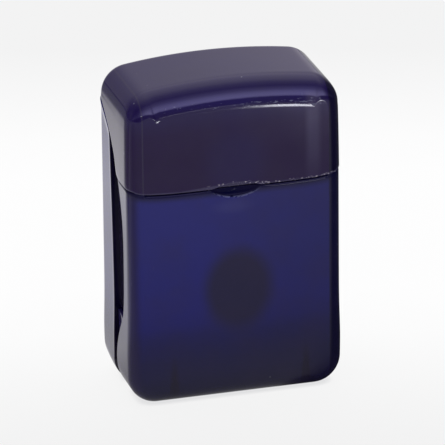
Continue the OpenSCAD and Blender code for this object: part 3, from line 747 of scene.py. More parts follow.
def make_floor():
    """Pale floor. The camera sees it nearly white with the object's shadow; a reflection sees
    where the room behind it is light and dark."""
    bm = bmesh.new()
    steps = np.linspace(-1.6, 1.6, 9)
    grid(bm, [[(u, v, 0.0) for u in steps] for v in steps])
    bmesh.ops.recalc_face_normals(bm, faces=bm.faces)
    floor = place("floor", to_mesh("floor", bm))
    n = Nodes(bpy.data.materials.new("floor_white"))
    x, y, _ = n.axes()
    paper = n.mix(n.noise(60, 2) * 0.03, (0.95, 0.95, 0.95), (0.90, 0.90, 0.90))
    plain = n.add("ShaderNodeBsdfDiffuse", {"Color": paper}, "BSDF")

    # White of the paper as the camera sees it, a little greyer near and far
    reach = x * 0.275 + y * 0.961
    white = n.ramp(reach.line(5.0, 0.30), greys(
        (0.13, 0.885), (0.24, 0.925), (0.30, 0.95), (0.38, 0.985), (0.47, 1.0), (0.70, 1.0),
        (0.79, 0.985), (0.90, 0.94), (1.0, 0.90)))
    contact = n.add("ShaderNodeAmbientOcclusion", {"Distance": 0.0011}, "AO").smooth(0.2, 1.0)
    shown = n.add("ShaderNodeEmission", {"Color": n.mix(contact, (0.80, 0.80, 0.81), white)},
                  "Emission")

    # Light that gloss picks up: bright behind and to the left, dark to the right
    tone = n.ramp(y.line(4.0, 0.5), [
        (position, (v, v * 0.985, v * 1.02)) for position, v in (
            (0.0, 0.44), (0.12, 0.42), (0.38, 0.31), (0.50, 0.45), (0.56, 0.85), (0.74, 1.02),
            (0.82, 1.17), (0.93, 1.00), (1.0, 0.92))])
    turn = n.math("ARCTAN2", x, y) / (2 * math.pi)
    tone = n.mix(1.0, tone, n.ramp(turn + 0.5, greys(
        (0.0, 1.0), (0.25, 0.9), (0.40, 1.0), (0.555, 1.0), (0.59, 0.30), (0.63, 0.06),
        (0.85, 0.06), (0.872, 0.30), (0.888, 0.85), (0.905, 1.0))), "MULTIPLY")
    # The paper ends on the left; a window shines on the table in front, to the right
    past = x.fade(-0.090, -0.042) * y.smooth(-0.005, 0.035)
    tone = n.mix(past * 0.75, tone, (0.02, 0.02, 0.02))
    window = y.line(0.268, x).band(0.0055, 0.0190, 0.0035) * y.band(-0.26, -0.135, 0.012)
    tone = n.mix(window, tone, (16.0, 16.0, 17.5))
    glow = n.add("ShaderNodeEmission", {"Color": tone}, "Emission")

    glossy, camera = n.add("ShaderNodeLightPath", {}, ("Is Glossy Ray", "Is Camera Ray"))
    material = n.end(n.blend(camera, n.blend(glossy, plain, glow), n.blend(0.93, plain, shown)))
    floor.data.materials.append(material)


def make_world():
    """White tent that lights evenly; gloss sees its bright panels and the gaps between them."""
    world = bpy.data.worlds.new("tent")
    bpy.context.scene.world = world
    n = Nodes(world, "ShaderNodeOutputWorld", "Generated")
    x, y, z = n.axes()
    even = n.ramp(z, [(0.0, (0.95, 0.95, 0.97)), (0.30, (0.68, 0.67, 0.70)),
                      (1.0, (0.58, 0.58, 0.60))])
    # By the angle over the object, from the front horizon (0) to the back one (180): level and
    # blue of the panels
    panels = n.ramp(n.math("ARCTAN2", z, y * -1.0) / math.pi, [
        (angle / 180, (level / 2, level * 0.47, level * blue / 2)) for angle, level, blue in (
            (0, 0.12, 1.6), (24, 0.12, 1.6), (28, 1.6, 1.7), (34, 1.9, 1.7), (44, 1.5, 1.7),
            (56, 0.70, 1.65), (72, 0.20, 1.5), (90, 0.45, 1.2), (105, 0.9, 1.05), (120, 1.0, 1.05),
            (138, 1.0, 1.05), (150, 0.66, 1.05), (158, 0.58, 1.05), (180, 0.70, 1.05))])
    sides = n.ramp(x.line(0.5, 0.5), greys(*(
        ((1 + across) / 2, level) for across, level in (
            (-1.0, 0.20), (-0.75, 0.10), (-0.55, 0.22), (-0.3, 0.58), (0.0, 0.86), (0.25, 1.0),
            (0.45, 1.0), (0.62, 0.45), (0.75, 0.10), (1.0, 0.06)))))
    seen = n.mix(1.0, panels, sides, "MULTIPLY")
    light = n.add("ShaderNodeBackground", {"Color": even}, "Background")
    gloss = n.add("ShaderNodeBackground", {"Color": seen, "Strength": 2.0}, "Background")
    n.end(n.blend(n.add("ShaderNodeLightPath", {}, "Is Glossy Ray"), light, gloss))


bpy.context.scene.view_settings.view_transform = "Standard"
make_camera()
make_floor()
make_world()
lamp("overhead", 180, 78, 0.55, 0.55, 2.4).visible_glossy = False
lamp("line", 12.6, 1.0, 0.085, 0.012, 4.5, aim_z=0.045)
lamp("spot", -24, 24, 0.035, 0.035, 30.0)


# ---------------------------------------------------------------------------------------------
# Flip lid
# ---------------------------------------------------------------------------------------------
def lid_sections(i, ya, yb, r, deep, high):
    """(inset at the side, inset at the crown, y) of the lid's sections, front to back. i is the
    depth in the wall, r rounds the sides, and deep and high are the reach of the front rounding
    along y and z."""
    turn = np.linspace(0, math.pi / 2, 25)

    def taper(back):
        return i + 0.12 * max(0.0, 1 - back / 6.0) ** 2

    front = []
    for a in turn:
        back = high * (1 - math.cos(a))
        part = max(0.0, 1 - back / deep)
        front.append((taper(back) + r * (1 - math.sqrt(1 - part ** 2)),
                      i + high * (1 - math.sin(a)), ya + back))
    mid = [(taper(y - ya), i, y) for y in np.linspace(ya + high, yb - r, 41)[1:-1]]
    back = [(i + r * (1 - math.sin(a)), i + r * (1 - math.sin(a)), yb - r * (1 - math.cos(a)))
            for a in turn[::-1]]
    return front + mid + back


def make_lid():
    bm = bmesh.new()
    rho, n_front = 0.13, 96
    up = np.array([0, 0, rho])

    def side(i, ya, yb, r, deep, high, front_edge):
        rows, corner = [], []
        for inset, top, y in lid_sections(i, ya, yb, r, deep, high):
            edge = float(lid_edge(HW - inset, y))
            rows.append(mirrored(with_y(over_half(inset, edge + rho, top), y)))
            x, z = over_half(inset, edge)[0]
            corner.append((x, y, z))
        low, corner = heads_of(rows), np.array(corner)
        x_front = np.linspace(-low[0][0], low[0][0], n_front + 1)[1:-1]
        x_back = np.linspace(low[-1][0], -low[-1][0], n_front + 1)[1:-1]
        front = line(x_front, low[0][1], front_edge(x_front))
        back = line(x_back, low[-1][1], lid_back_edge(x_back))
        grid(bm, rows)
        cap(bm, [*rows[0], *(front + up)])
        cap(bm, [*rows[-1][::-1], *(back + up)])
        return (np.vstack([low, back + up, other(low), front + up]),
                np.vstack([corner, back, other(corner), front]))

    s0, b = side(0.0, Y_LID, Y_BACK, R_EDGE, D_LID, R_LID_TOP, scoop_edge)
    t0, i = side(LID_WALL, Y_LID + LID_WALL, Y_BACK - LID_WALL, 1.2, D_LID - LID_WALL,
                 R_LID_TOP - LID_WALL, lambda x: lid_edge(x, Y_LID))
    # The scoop is a shallow recess in the lid's front edge
    step_a, step_b = b + 0.60 * (i - b), b + 0.68 * (i - b)
    step_a[:, 2], step_b[:, 2] = b[:, 2], i[:, 2]
    grid(bm, rim_rows(s0, b, i, t0, rho, mids=(step_a, step_b)), wrap=True)
    shell = piece("lid_shell", bm, MAT_LID,
                  rim=lambda x, y, z: z - (scoop_edge(x) if y < Y_LID + 0.3 else lid_edge(x, y)))
    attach(shell, "flip_lid")
    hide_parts("flip_lid")

    # Two ribs under the crown, with sloped ends
    rib_x = 6.5
    top = CROWN_Z + math.sqrt(CROWN_R ** 2 - rib_x ** 2) - 1.0
    profile = [(Y_LID + 2.9, top + 0.1), (Y_BACK - 1.0, top + 0.1), (Y_BACK - 1.0, top - 1.0),
               (Y_BACK - 2.2, top - 1.5), (Y_LID + 3.4, top - 1.5), (Y_LID + 2.3, top - 1.0),
               (Y_LID + 2.3, top - 0.5)]
    for x, name in ((-rib_x, "left"), (rib_x, "right")):
        rib = piece(f"lid_rib_{name}", bevel(solid(profile, "x", x - 0.4, x + 0.4), 0.14), MAT_LID)
        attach(rib, "flip_lid")


# ---------------------------------------------------------------------------------------------
# Front body: skin cut by the bow, tongue, neck with deck, post and gussets
# ---------------------------------------------------------------------------------------------
def make_skin():
    bm = bmesh.new()
    # Roundings of the back and top edges, rows round the front edge and from there to the bow
    rho, rho_top = 0.11, 0.34
    n_turn, n_deep, n_front = 14, 14, 40
    wall, lap = 1.16, STEP + 0.02

    def top(y):
        return float(lid_edge(HW, y)) - SEAM

    def row(inset, y_of_z, soft, base=R_BASE_FRONT):
        """One U of the shell whose upper end lies soft under the lid's edge."""
        z_end = solve_end(y_of_z, lambda y: top(y) - soft, 28.0, 37.5)
        half = with_y(under_half(inset, z_end, base=base), lambda x, z: y_of_z(z))
        half[:, 0] += belly(half[:, 0], half[:, 2])
        return half

    def front_rows(i, r, deep, y0, soft):
        """Rows round the front edge."""
        return [row(i + r * (1 - math.sin(a)), lambda z: y0 + deep * (1 - math.cos(a)), soft)
                for a in np.linspace(0, math.pi / 2, n_turn + 1)]

    grow = R_BASE - R_BASE_FRONT
    outer = front_rows(0.0, R_EDGE, D_BODY, Y_FRONT, rho_top)
    start = Y_FRONT + D_BODY
    for t in 1 - (1 - np.linspace(0, 1, n_deep + 1)[1:]) ** 1.5:
        outer.append(row(0.0, lambda z: start + t * (bow_y(z) - rho - start), rho_top,
                         R_BASE_FRONT + grow * t * t * (3 - 2 * t)))
    # Behind the ear's front edge the wall steps out to a thin lap
    inner = front_rows(wall, 1.0, 1.4, Y_IN, rho)
    step = EAR_FRONT - SEAM
    inner.append(row(wall, lambda z: step - 0.02, rho, R_BASE_FRONT + 0.4 * grow))
    for t in np.linspace(0, 1, n_deep)[:-1]:
        inner.append(row(lap, lambda z: step + t * (bow_y(z) - rho - step), rho,
                         R_BASE_FRONT + (0.4 + 0.6 * t) * grow))

    # Thumbnail scoop: a dish between its arc on the front face and the top edge
    top_z = LID_EDGE - SEAM
    low_z = top_z - rho
    radius = (SCOOP_HALF ** 2 + SCOOP_H ** 2) / (2 * SCOOP_H)
    sweep = math.asin(SCOOP_HALF / radius)

    def dish(a, t):
        """Arc angle a, and t from the arc (0) to the middle of the top edge (1)."""
        z = min(top_z - SCOOP_H + radius - radius * math.cos(a), low_z)
        deep = math.sqrt(max(0.0, 1 - (1 - t) ** 2)) * (1.0 - 0.25 * (a / sweep) ** 2)
        return (radius * math.sin(a) * (1 - t), Y_FRONT + SCOOP_DEPTH * deep, z + (low_z - z) * t)

    arc = np.linspace(-sweep, sweep, 41)
    inwards = np.linspace(0, 1, 15)
    dish_low = np.array([dish(-sweep, t) for t in inwards]
                        + [dish(sweep, t) for t in inwards[::-1][1:]])
    dish_top = line(dish_low[:, 0], dish_low[:, 1], top_z)

    z_tip = solve_end(bow_y, top, 28.0, 37.5)

    def borders(rows, inset, soft, front_edge, lower):
        heads = heads_of(rows)
        edges = heads + np.array([0, 0, soft])
        edges[-1] = (HW - inset, bow_y(z_tip), z_tip)
        rim = mirrored(rows[-1][1:])
        return (np.vstack([heads, rim, other(heads), lower]),
                np.vstack([edges, rim + np.array([0, rho, 0]), other(edges), front_edge]))

    # Front edge: left shoulder, across the dish, right shoulder
    x1, y1 = outer[0][0][:2]
    left = np.linspace(-x1, -SCOOP_HALF, n_front + 1)[1:]
    flat = line(left, y1, lid_edge(left, Y_LID) - SEAM)
    flat[-1] = dish_top[0]
    edge_out = np.vstack([flat, dish_top[1:-1], other(flat)])
    rounding = rho + (rho_top - rho) * np.clip((np.abs(edge_out[:, 0]) - SCOOP_HALF) / 1.5, 0, 1)
    low_out = edge_out - line(0, 0, rounding)
    dish_end = n_front - 1 + len(dish_low)
    low_out[n_front - 1:dish_end] = dish_low
    x1, y1 = inner[0][0][:2]
    xs = np.linspace(-x1, x1, len(edge_out) + 2)[1:-1]
    edge_in = line(xs, y1, lid_edge(xs, Y_LID) - SEAM)
    low_in = edge_in - np.array([0, 0, rho])
    s0, b = borders(outer, 0.0, rho_top, edge_out, low_out)
    t0, i = borders(inner, lap, rho, edge_in, low_in)
    for rows in (outer, inner):
        grid(bm, [mirrored(half) for half in rows])
    grid(bm, [[dish(a, t) for a in arc] for t in inwards])
    cap(bm, [*mirrored(outer[0]), *low_out[:n_front - 1], *(dish(a, 0.0) for a in arc),
             *low_out[dish_end:]])
    cap(bm, [*mirrored(inner[0]), *low_in])
    soft = np.full(len(s0), rho_top)
    soft[len(outer):-len(outer) - len(edge_out)] = rho
    soft[-len(edge_out):] = rounding
    grid(bm, rim_rows(s0, b, i, t0, soft * 0.9, rho_in=rho * 0.9), wrap=True)
    skin = piece("body_skin", bm, MAT_BODY, rim=lambda x, y, z: lid_edge(x, y) - SEAM - z)
    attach(skin, "front_body")
    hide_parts("front_body")


def make_tongue():
    """Set-in strip between the skin and the back cover's rim."""
    bm = bmesh.new()
    rho, start = 0.10, -6.2

    def top(y):
        # An arc about the base hinge, close under the ear's lower end
        return BASE_Z + math.sqrt((BOW_LOW + 0.12) ** 2 - (y - BASE_Y) ** 2)

    def end(x, z):
        # The back edge makes room for the hinge
        wide = sigmoid((np.abs(x) - BASE_LEN / 2 - 0.2) / 0.08)
        return rim_y(z) - SEAM - 0.22 * wide * sigmoid((z - 2.4) / 0.1)

    def side(inset):
        rows = []
        for t in np.linspace(0, 1, 30):
            z_end = solve_end(lambda z: start + t * (float(rim_y(z)) - SEAM - rho - start),
                              lambda y: top(y) - rho, 3.0, 13.0)
            rows.append(with_y(under_half(inset, z_end, n_side=20),
                               lambda x, z: start + t * (end(x, z) - rho - start)))
        return rows

    def borders(rows):
        heads = heads_of(rows)
        edges = heads + np.array([0, 0, rho])
        edges[-1] = heads[-1] + np.array([0, rho, rho])
        rim = mirrored(rows[-1][1:])
        return (np.vstack([heads, rim, other(heads)]),
                np.vstack([edges, rim + np.array([0, rho, 0]), other(edges)]))

    outer, inner = side(STEP), side(1.03)
    for rows in (outer, inner):
        grid(bm, [mirrored(h) for h in rows])
    s0, b = borders(outer)
    t0, i = borders(inner)
    rim = rim_rows(s0, b, i, t0, rho)
    grid(bm, rim)
    # Hidden front end, closed inside the skin's wall
    grid(bm, [mirrored(outer[0]), mirrored(inner[0])])
    cap(bm, [r[0] for r in rim])
    cap(bm, [r[-1] for r in rim])
    tongue = piece("body_tongue", bm, MAT_BODY)
    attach(tongue, "front_body")


def rounded_plan(x, y0, y1, r, n=8):
    """Plan of a block whose two front corners are rounded."""
    deep = min(r, y1 - y0 - 0.1)
    pts = [(-x + r - r * math.cos(a), y0 + deep - deep * math.sin(a))
           for a in np.linspace(0, math.pi / 2, n + 1)]
    pts += [(-p[0], p[1]) for p in pts[::-1]]
    return pts + [(x, y1), (-x, y1)]


def make_neck():
    """Neck, deck, tray and lip in one, with their cut-outs."""
    neck = solid(rounded_plan(HW - 1.15, Y_NECK, EAR_FRONT - SEAM, 2.1), "z", LID_EDGE - 2.4, DECK)
    tray = block(-TRAY, TRAY, Y_NECK + 0.6, Y_TRAY, LID_EDGE + 0.6, DECK + DECK_RIM)
    shoulder = solid(rounded_plan(HW - 0.62, Y_FRONT + 0.78, EAR_FRONT - SEAM - 0.02, 1.3), "z",
                     LID_EDGE - 1.2, LID_EDGE - 0.28)
    part = combine(neck, "UNION", tray, shoulder)
    # Inside of the neck, inside of the tray, open front of the tray, seat of the clip's leg
    part = combine(
        part, "DIFFERENCE",
        block(-TRAY + 1, TRAY - 1, Y_NECK + 1, 12, LID_EDGE - 3, DECK_LOW),
        block(-TRAY + 1, TRAY - 1, Y_NECK + 1, Y_TRAY - 1, DECK, DECK + 5),
        block(-TRAY - 1, TRAY + 1, Y_NECK - 1, Y_NECK + 2, DECK, DECK + 5),
        block(-CLIP_W / 2 - 0.1, CLIP_W / 2 + 0.1, Y_NECK - 1, Y_NECK + STEEL + 0.03, DECK - 5.2,
              DECK + 1))
    collar = exit_rod(EXIT_R + 0.7, DECK - 0.2, DECK + COLLAR)
    seat = combine(
        block(-CLIP_W / 2 + 0.3, CLIP_W / 2 - 0.3, Y_NECK + STEEL + 0.04,
              Y_NECK + CLIP_D - STEEL - 0.06, DECK - 0.2, SEAT_TOP),
        "DIFFERENCE",
        block(-1.7, 1.7, TOOTH_Y - 0.3, TOOTH_Y + 5, SEAT_TOP - 0.7, SEAT_TOP + 2))
    lip = [(Y_TRAY - 1.1, DECK - 0.2), (Y_TRAY, DECK - 0.2), (Y_TRAY, LIP_LOW),
           (Y_BACK - 0.55, LIP_LOW), (Y_BACK - 0.55, LIP_HIGH), (Y_TRAY - 0.5, LIP_HIGH),
           (Y_TRAY - 1.1, LIP_HIGH - 0.7)]
    ribs = [block(x - 0.4, x + 0.4, Y_NECK + 0.9, Y_NECK + 2.8, LID_EDGE + 1.6, DECK_LOW + 0.1)
            for x in (-CLIP_W / 2 - 0.4, CLIP_W / 2 + 0.4)]
    part = combine(part, "UNION", collar, seat,
                   solid(lip, "x", -HINGE_LEN / 2 - 1, HINGE_LEN / 2 + 1), *ribs)
    # Hole for the floss, slot for the clip's back leg
    part = combine(
        part, "DIFFERENCE",
        exit_rod(EXIT_R, DECK_LOW - 1, DECK + 3),
        block(-CLIP_W / 4 - 0.1, CLIP_W / 4 + 0.1, Y_NECK + CLIP_D - STEEL - 0.05,
              Y_NECK + CLIP_D + 0.05, DECK - 0.8, DECK + 0.3))
    ob = piece("body_neck", bevel(part, 0.12), MAT_IN, sharp=50)
    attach(ob, "front_body")


def make_post():
    """Turned post with its shoulder and lead-in, and the gussets, inside the front wall."""
    end = SPOOL_B
    profile = [(0, Y_IN - 0.3), (3.35, Y_IN - 0.3), (3.35, Y_IN - 0.02), (3.2, Y_IN + 0.08),
               (HUB - 0.1, Y_IN + 0.12), (HUB - 0.12, Y_IN + 0.26), (HUB - 0.2, Y_IN + 0.3),
               (POST + 0.25, Y_IN + 0.3), (POST + 0.07, Y_IN + 0.37), (POST, Y_IN + 0.55),
               (POST, end - 0.32), (POST - 0.06, end - 0.22), (POST - 0.36, end + 0.06),
               (POST - 0.5, end + 0.1), (1.1, end + 0.1), (1.0, end + 0.04), (0.95, end - 0.6),
               (0.9, end - 5.0), (0, end - 5.2)]
    ob = piece("body_post", lathe(profile, 72), MAT_IN, sharp=44)
    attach(ob, "front_body")
    profile = [(Y_IN - 0.3, 0.9), (Y_IN + 4.7, 0.9), (Y_IN + 4.3, 1.5), (Y_IN + 1.3, 4.6),
               (Y_IN + 1.0, 4.8), (Y_IN - 0.3, 4.8)]
    for x, name in ((-HUB - 6.7, "left"), (HUB + 6.7, "right")):
        gusset = bevel(solid(profile, "x", x - 0.6, x + 0.6), 0.14)
        ob = piece(f"body_gusset_{name}", gusset, MAT_IN)
        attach(ob, "front_body")


# ---------------------------------------------------------------------------------------------
# Back cover: shell, ears, boss and ribs
# ---------------------------------------------------------------------------------------------
def make_cover():
    bm = bmesh.new()
    rho = 0.12
    n_turn, n_deep, n_side, n_back = 12, 26, 44, 60

    def top(y):
        # The back wall ends lower, clear of the lid's back when that is folded down
        level = COVER_TOP + 0.02 - 0.34 * np.clip((y - 6.6) / 1.85, 0, 1)
        return float(smooth_min(lid_edge(HW, y) - SEAM, level, 0.25))

    def base_slope(y):
        """The base's front edge slopes up to the hinge."""
        return 0.65 - (y - BASE_Y - 0.35) * 0.65 / 1.65

    def flare(half):
        """The side stands out a little towards the lid's edge and towards the upper rim."""
        y, z = half[:n_side, 1], half[:n_side, 2]
        over = smooth_min(lid_edge(HW, y) - SEAM, COVER_TOP + 0.02, 0.25) - z
        over = np.clip(1 - over * 0.74 / 1.1, 0, 1)
        fore = np.clip(1 - (y - rim_y(z)) / 0.8, 0, 1) * np.clip((z - 5) / 4, 0, 1)
        fore = fore * (0.03 + 0.02 * np.clip((z - 28) / 3, 0, 1))
        return 0.15 * over + fore * (1 - over)

    def row(inset, z_end, base, y):
        return with_y(under_half(inset, z_end, n_side=n_side, power=1.6, base=base), y)

    def side(wall, r):
        rows = []
        y1 = Y_BACK - (WALL_BACK if wall else 0.0)
        for t in (np.linspace(0, 1, n_deep + 1) ** 1.5)[:-1]:
            y_of = lambda z: rim_y(z) + rho + t * (y1 - r - rim_y(z) - rho)
            z_end = solve_end(y_of, lambda y: top(y) - rho, 30.0, 44.0)
            half = row(wall, z_end, R_BASE + (R_BASE_BACK - R_BASE) * t * t, lambda x, z: y_of(z))
            if not wall:
                flared = flare(half)
                half[:, 2] = np.maximum(half[:, 2], base_slope(half[:, 1]))
                half[:n_side, 0] += flared
            rows.append(half)
        for a in np.linspace(math.pi / 2, 0, n_turn + 1):
            y = y1 - r * (1 - math.cos(a))
            half = row(wall + r * (1 - math.sin(a)), top(y) - rho, R_BASE_BACK, y)
            if not wall:
                half[:n_side, 0] += flare(half) * math.sin(a) ** 2
            rows.append(half)
        for half in rows:
            half[:, 0] += belly(half[:, 0], half[:, 2])
        return rows

    def borders(rows):
        heads = heads_of(rows)
        edges = heads + np.array([0, 0, rho])
        edges[0] = heads[0] + np.array([0, -rho, rho])
        rim = mirrored(rows[0][1:])[::-1]
        x1, y1, z1 = heads[-1]
        back = line(np.linspace(x1, -x1, n_back + 1)[1:-1], y1, z1)
        return (np.vstack([heads, back, other(heads), rim]),
                np.vstack([edges, back + np.array([0, 0, rho]), other(edges),
                           rim + np.array([0, -rho, 0])]), back)

    outer, inner = side(0.0, R_EDGE), side(WALL_SIDE + 0.15, 1.0)
    for rows in (outer, inner):
        grid(bm, [mirrored(h) for h in rows])
    s0, b, back = borders(outer)
    t0, i, back_in = borders(inner)
    cap(bm, [*mirrored(outer[-1]), *back[::-1]])
    cap(bm, [*mirrored(inner[-1]), *back_in[::-1]])
    grid(bm, rim_rows(s0, b, i, t0, rho), wrap=True)
    shell = piece("cover_shell", bm, MAT_COVER, rim=lambda x, y, z: y - rim_y(z))
    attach(shell, "back_cover")
    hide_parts("back_cover")

    # Ears that fill the bows: thin plates whose ends are arcs about the base hinge
    def arc_z(r, y):
        return BASE_Z + math.sqrt(r * r - (y - BASE_Y) ** 2)

    profile = [(y, arc_z(BOW_LOW + 0.35, y)) for y in np.linspace(EAR_FRONT, RIM_Y + 1.7, 24)]
    for y in np.linspace(RIM_Y + 1.7, EAR_FRONT, 40):
        lid = float(lid_edge(HW, y)) - SEAM - 0.08
        profile.append((y, min(lid, arc_z(LID_EDGE + 0.2, y)) if y < RIM_Y - 4 else lid))
    for s, name in ((-1, "left"), (1, "right")):
        x = sorted((s * (HW - EAR_OUT - 0.36), s * (HW - EAR_IN)))
        ear = bevel(solid(profile, "x", *x), 0.16, angle=42)
        ob = piece(f"cover_ear_{name}", ear, MAT_EAR_SHADED, sharp=50)
        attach(ob, "back_cover")

    y0, y1 = SPOOL_B + 0.2, Y_BACK - WALL_BACK + 0.3
    boss = [(HUB - 0.9, y1), (HUB - 0.9, y0 + 0.1), (HUB - 0.82, y0), (HUB - 0.1, y0),
            (HUB, y0 + 0.1), (HUB, y1 - 0.6), (HUB + 0.12, y1 - 0.4), (HUB + 0.35, y1 - 0.28),
            (HUB + 0.35, y1)]
    ob = piece("cover_boss", lathe(boss, 72), MAT_COVER, sharp=44)
    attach(ob, "back_cover")
    y = Y_BACK - WALL_BACK
    for name, z in (("cover_rib_1", SPOOL_Z + 10), ("cover_rib_2", SPOOL_Z + 15.5)):
        rib = block(-HW + 1.1, HW - 1.1, y - 0.7, y + 0.2, z, z + 0.9)
        ob = piece(name, bevel(rib, 0.14), MAT_COVER)
        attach(ob, "back_cover")


# ---------------------------------------------------------------------------------------------
# Hinge films
# ---------------------------------------------------------------------------------------------
def film_strip(name, path, half_len, material):
    """Thin strip along x, swept through a side view line of (y, z, thickness)."""
    bm = bmesh.new()
    path = np.asarray(path, float)
    mid = path[:, :2]
    tangent = unit(np.gradient(mid, axis=0))
    half = np.column_stack([-tangent[:, 1], tangent[:, 0]]) * path[:, 2:] / 2
    rows = []
    # The strip is thinner at both of its ends
    for x in (-half_len, *np.linspace(-half_len + 0.12, half_len - 0.12, 41), half_len):
        thin = half * (0.55 if abs(x) == half_len else 1.0)
        rows.append([(x, p[0], p[1]) for p in np.vstack([mid + thin, (mid - thin)[::-1]])])
    made = grid(bm, rows, wrap=True)
    last = 2 * len(path) - 1
    for row in (made[0], made[-1]):
        for k in range(len(path) - 1):
            bm.faces.new((row[k], row[k + 1], row[last - 1 - k], row[last - k]))
    return piece(name, bm, material, sharp=60, weighted=False)


def make_hinges():
    # From the lip of the tray round the hinge line up to the lid's back edge
    back = HINGE_Y + 0.06
    path = [(7.55, HINGE_Z, 0.34), (7.75, HINGE_Z, 0.31), (7.9, HINGE_Z, 0.28)]
    path += [(HINGE_Y - 0.16 + 0.22 * math.sin(a), HINGE_Z + 0.22 - 0.22 * math.cos(a), 0.26)
             for a in np.linspace(0, math.pi / 2, 13)]
    path += [(back, HINGE_Z + 0.34, 0.30), (back, HINGE_Z + 0.5, 0.34), (back, HINGE_Z + 0.7, 0.36)]
    ob = film_strip("hinge_lid", path, HINGE_LEN / 2, MAT_LID)
    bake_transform(ob)
    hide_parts("lid_hinge")
    path = [(y, BASE_Z, 0.28 + 0.9 * (y - BASE_Y) ** 2)
            for y in np.linspace(BASE_Y - 0.55, BASE_Y + 0.6, 17)]
    ob = film_strip("hinge_base", path, BASE_LEN / 2, MAT_BODY)
    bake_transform(ob)
    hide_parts("base_hinge")


# ---------------------------------------------------------------------------------------------
# Bobbin, floss and cutter
# ---------------------------------------------------------------------------------------------
def make_bobbin():
    a, b = SPOOL_A, SPOOL_B
    bore, e = POST + 0.08, 0.12
    profile = [(bore + e, a), (FLANGE_R - 0.25, a), (FLANGE_R - 0.07, a + 0.07),
               (FLANGE_R, a + 0.25), (FLANGE_R, a + FLANGE - 0.22),
               (FLANGE_R - 0.07, a + FLANGE - 0.06), (FLANGE_R - 0.24, a + FLANGE),
               (HUB + 0.25, a + FLANGE), (HUB + 0.07, a + FLANGE + 0.07),
               (HUB, a + FLANGE + 0.25), (HUB, b - FLANGE - 0.25), (HUB + 0.07, b - FLANGE - 0.07),
               (HUB + 0.25, b - FLANGE), (FLANGE_R - 0.24, b - FLANGE),
               (FLANGE_R - 0.07, b - FLANGE + 0.06), (FLANGE_R, b - FLANGE + 0.22),
               (FLANGE_R, b - 0.25), (FLANGE_R - 0.07, b - 0.07), (FLANGE_R - 0.25, b),
               (4.9, b), (4.8, b - 0.05), (4.7, b - 0.2), (3.75, b - 0.2), (3.65, b - 0.05),
               (3.55, b), (bore + e, b), (bore, b - e), (bore, a + e)]
    spool = lathe(profile, 96)
    bmesh.ops.remove_doubles(spool, verts=spool.verts, dist=WELD)
    bmesh.ops.recalc_face_normals(spool, faces=spool.faces)
    # Slot that holds the floss's inner end
    slot = block(-0.3, 0.3, b - FLANGE - 0.3, b + 0.5, SPOOL_Z - FLANGE_R - 1, SPOOL_Z - HUB - 0.6)
    ob = piece("bobbin_spool", combine(spool, "DIFFERENCE", slot), MAT_BOBBIN, sharp=40)
    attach(ob, "bobbin")
    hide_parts("bobbin")


def make_floss():
    # Under layers, laid the other way, as a body with wound ridges
    bm = bmesh.new()
    n, m = 96, 150

    def ring(y, radius):
        return [(radius(j) * math.cos(2 * math.pi * j / n), y,
                 SPOOL_Z + radius(j) * math.sin(2 * math.pi * j / n)) for j in range(n)]

    rows = []
    for k in range(m + 1):
        y = WIND_A + 0.03 + (WIND_B - WIND_A - 0.06) * k / m
        level = WOUND - 0.05 - (0.25 if k in (0, m) else 0.0)
        rows.append(ring(y, lambda j: level + 0.05 * math.sin(
            2 * math.pi * (y / 0.62 + 3 * j / n))))
    hub = [ring(row[0][1], lambda j: HUB) for row in (rows[0], rows[m])]
    for part in (rows, [rows[0], hub[0]], [rows[m], hub[1]], hub):
        grid(bm, part, wrap=True)
    ob = piece("floss_layers", bm, MAT_FLOSS, sharp=60, weighted=False)
    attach(ob, "bobbin")
    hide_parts("floss_winding")
    # Outer layer: turns laid side by side, in one strand
    turns, steps, half = 18, 44, STRAND / 2
    share = np.arange(turns * steps + 1) / (turns * steps)
    a = -2 * math.pi * turns * share
    y0, y1 = WIND_A + 0.15 + half, WIND_B - 0.15 - half
    path = line(HELIX_R * np.cos(a), y0 + (y1 - y0) * share, SPOOL_Z + HELIX_R * np.sin(a))
    strand = tube(path, half, 10, flat=0.98, turn=np.linspace(0, 60, len(path)))
    ob = piece("floss_turns", strand, MAT_FLOSS, sharp=70, weighted=False)
    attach(ob, "bobbin")
    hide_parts("floss_outer_turns")


def lead_path():
    """Points of the free strand, and its length: up to the deck and round the tooth."""
    r = HELIX_R + STRAND + 0.06
    a = math.acos(r / (DECK_LOW - SPOOL_Z))
    z = SEAT_TOP + STEEL + STRAND / 2 + 0.03
    side = TOOTH_HALF + STRAND / 2 + 0.15
    start = np.array([r * math.sin(a), EXIT_Y, SPOOL_Z + r * math.cos(a)])
    low = np.array([0.15, EXIT_Y, DECK_LOW - 0.8])
    pts = np.vstack([
        [start + (low - start) * t for t in np.linspace(0, 1, 25)],
        bezier((0, EXIT_Y, DECK_LOW), (0, EXIT_Y, DECK + COLLAR), (0, EXIT_Y - 0.2, z + 0.1),
               (0, EXIT_Y - 2.2, z), 24),
        bezier((0, EXIT_Y - 2.6, z), (0, EXIT_Y - 3.6, z), (side, TOOTH_Y + 2.2, z),
               (side, TOOTH_Y + 0.35, z), 20),
        bezier((side, TOOTH_Y - 0.05, z), (side, TOOTH_Y - 0.7, z),
               (side - 1, TOOTH_Y - 0.85, z), (-side, TOOTH_Y - 0.95, z), 20)])
    # Slightly eased, then evenly spaced
    for _ in range(6):
        pts[1:-1] = 0.25 * pts[:-2] + 0.5 * pts[1:-1] + 0.25 * pts[2:]
    gone = np.concatenate([[0], np.cumsum(np.linalg.norm(np.diff(pts, axis=0), axis=1))])
    at = np.linspace(0, gone[-1], 150)
    return np.column_stack([np.interp(at, gone, pts[:, k]) for k in range(3)]), gone[-1]


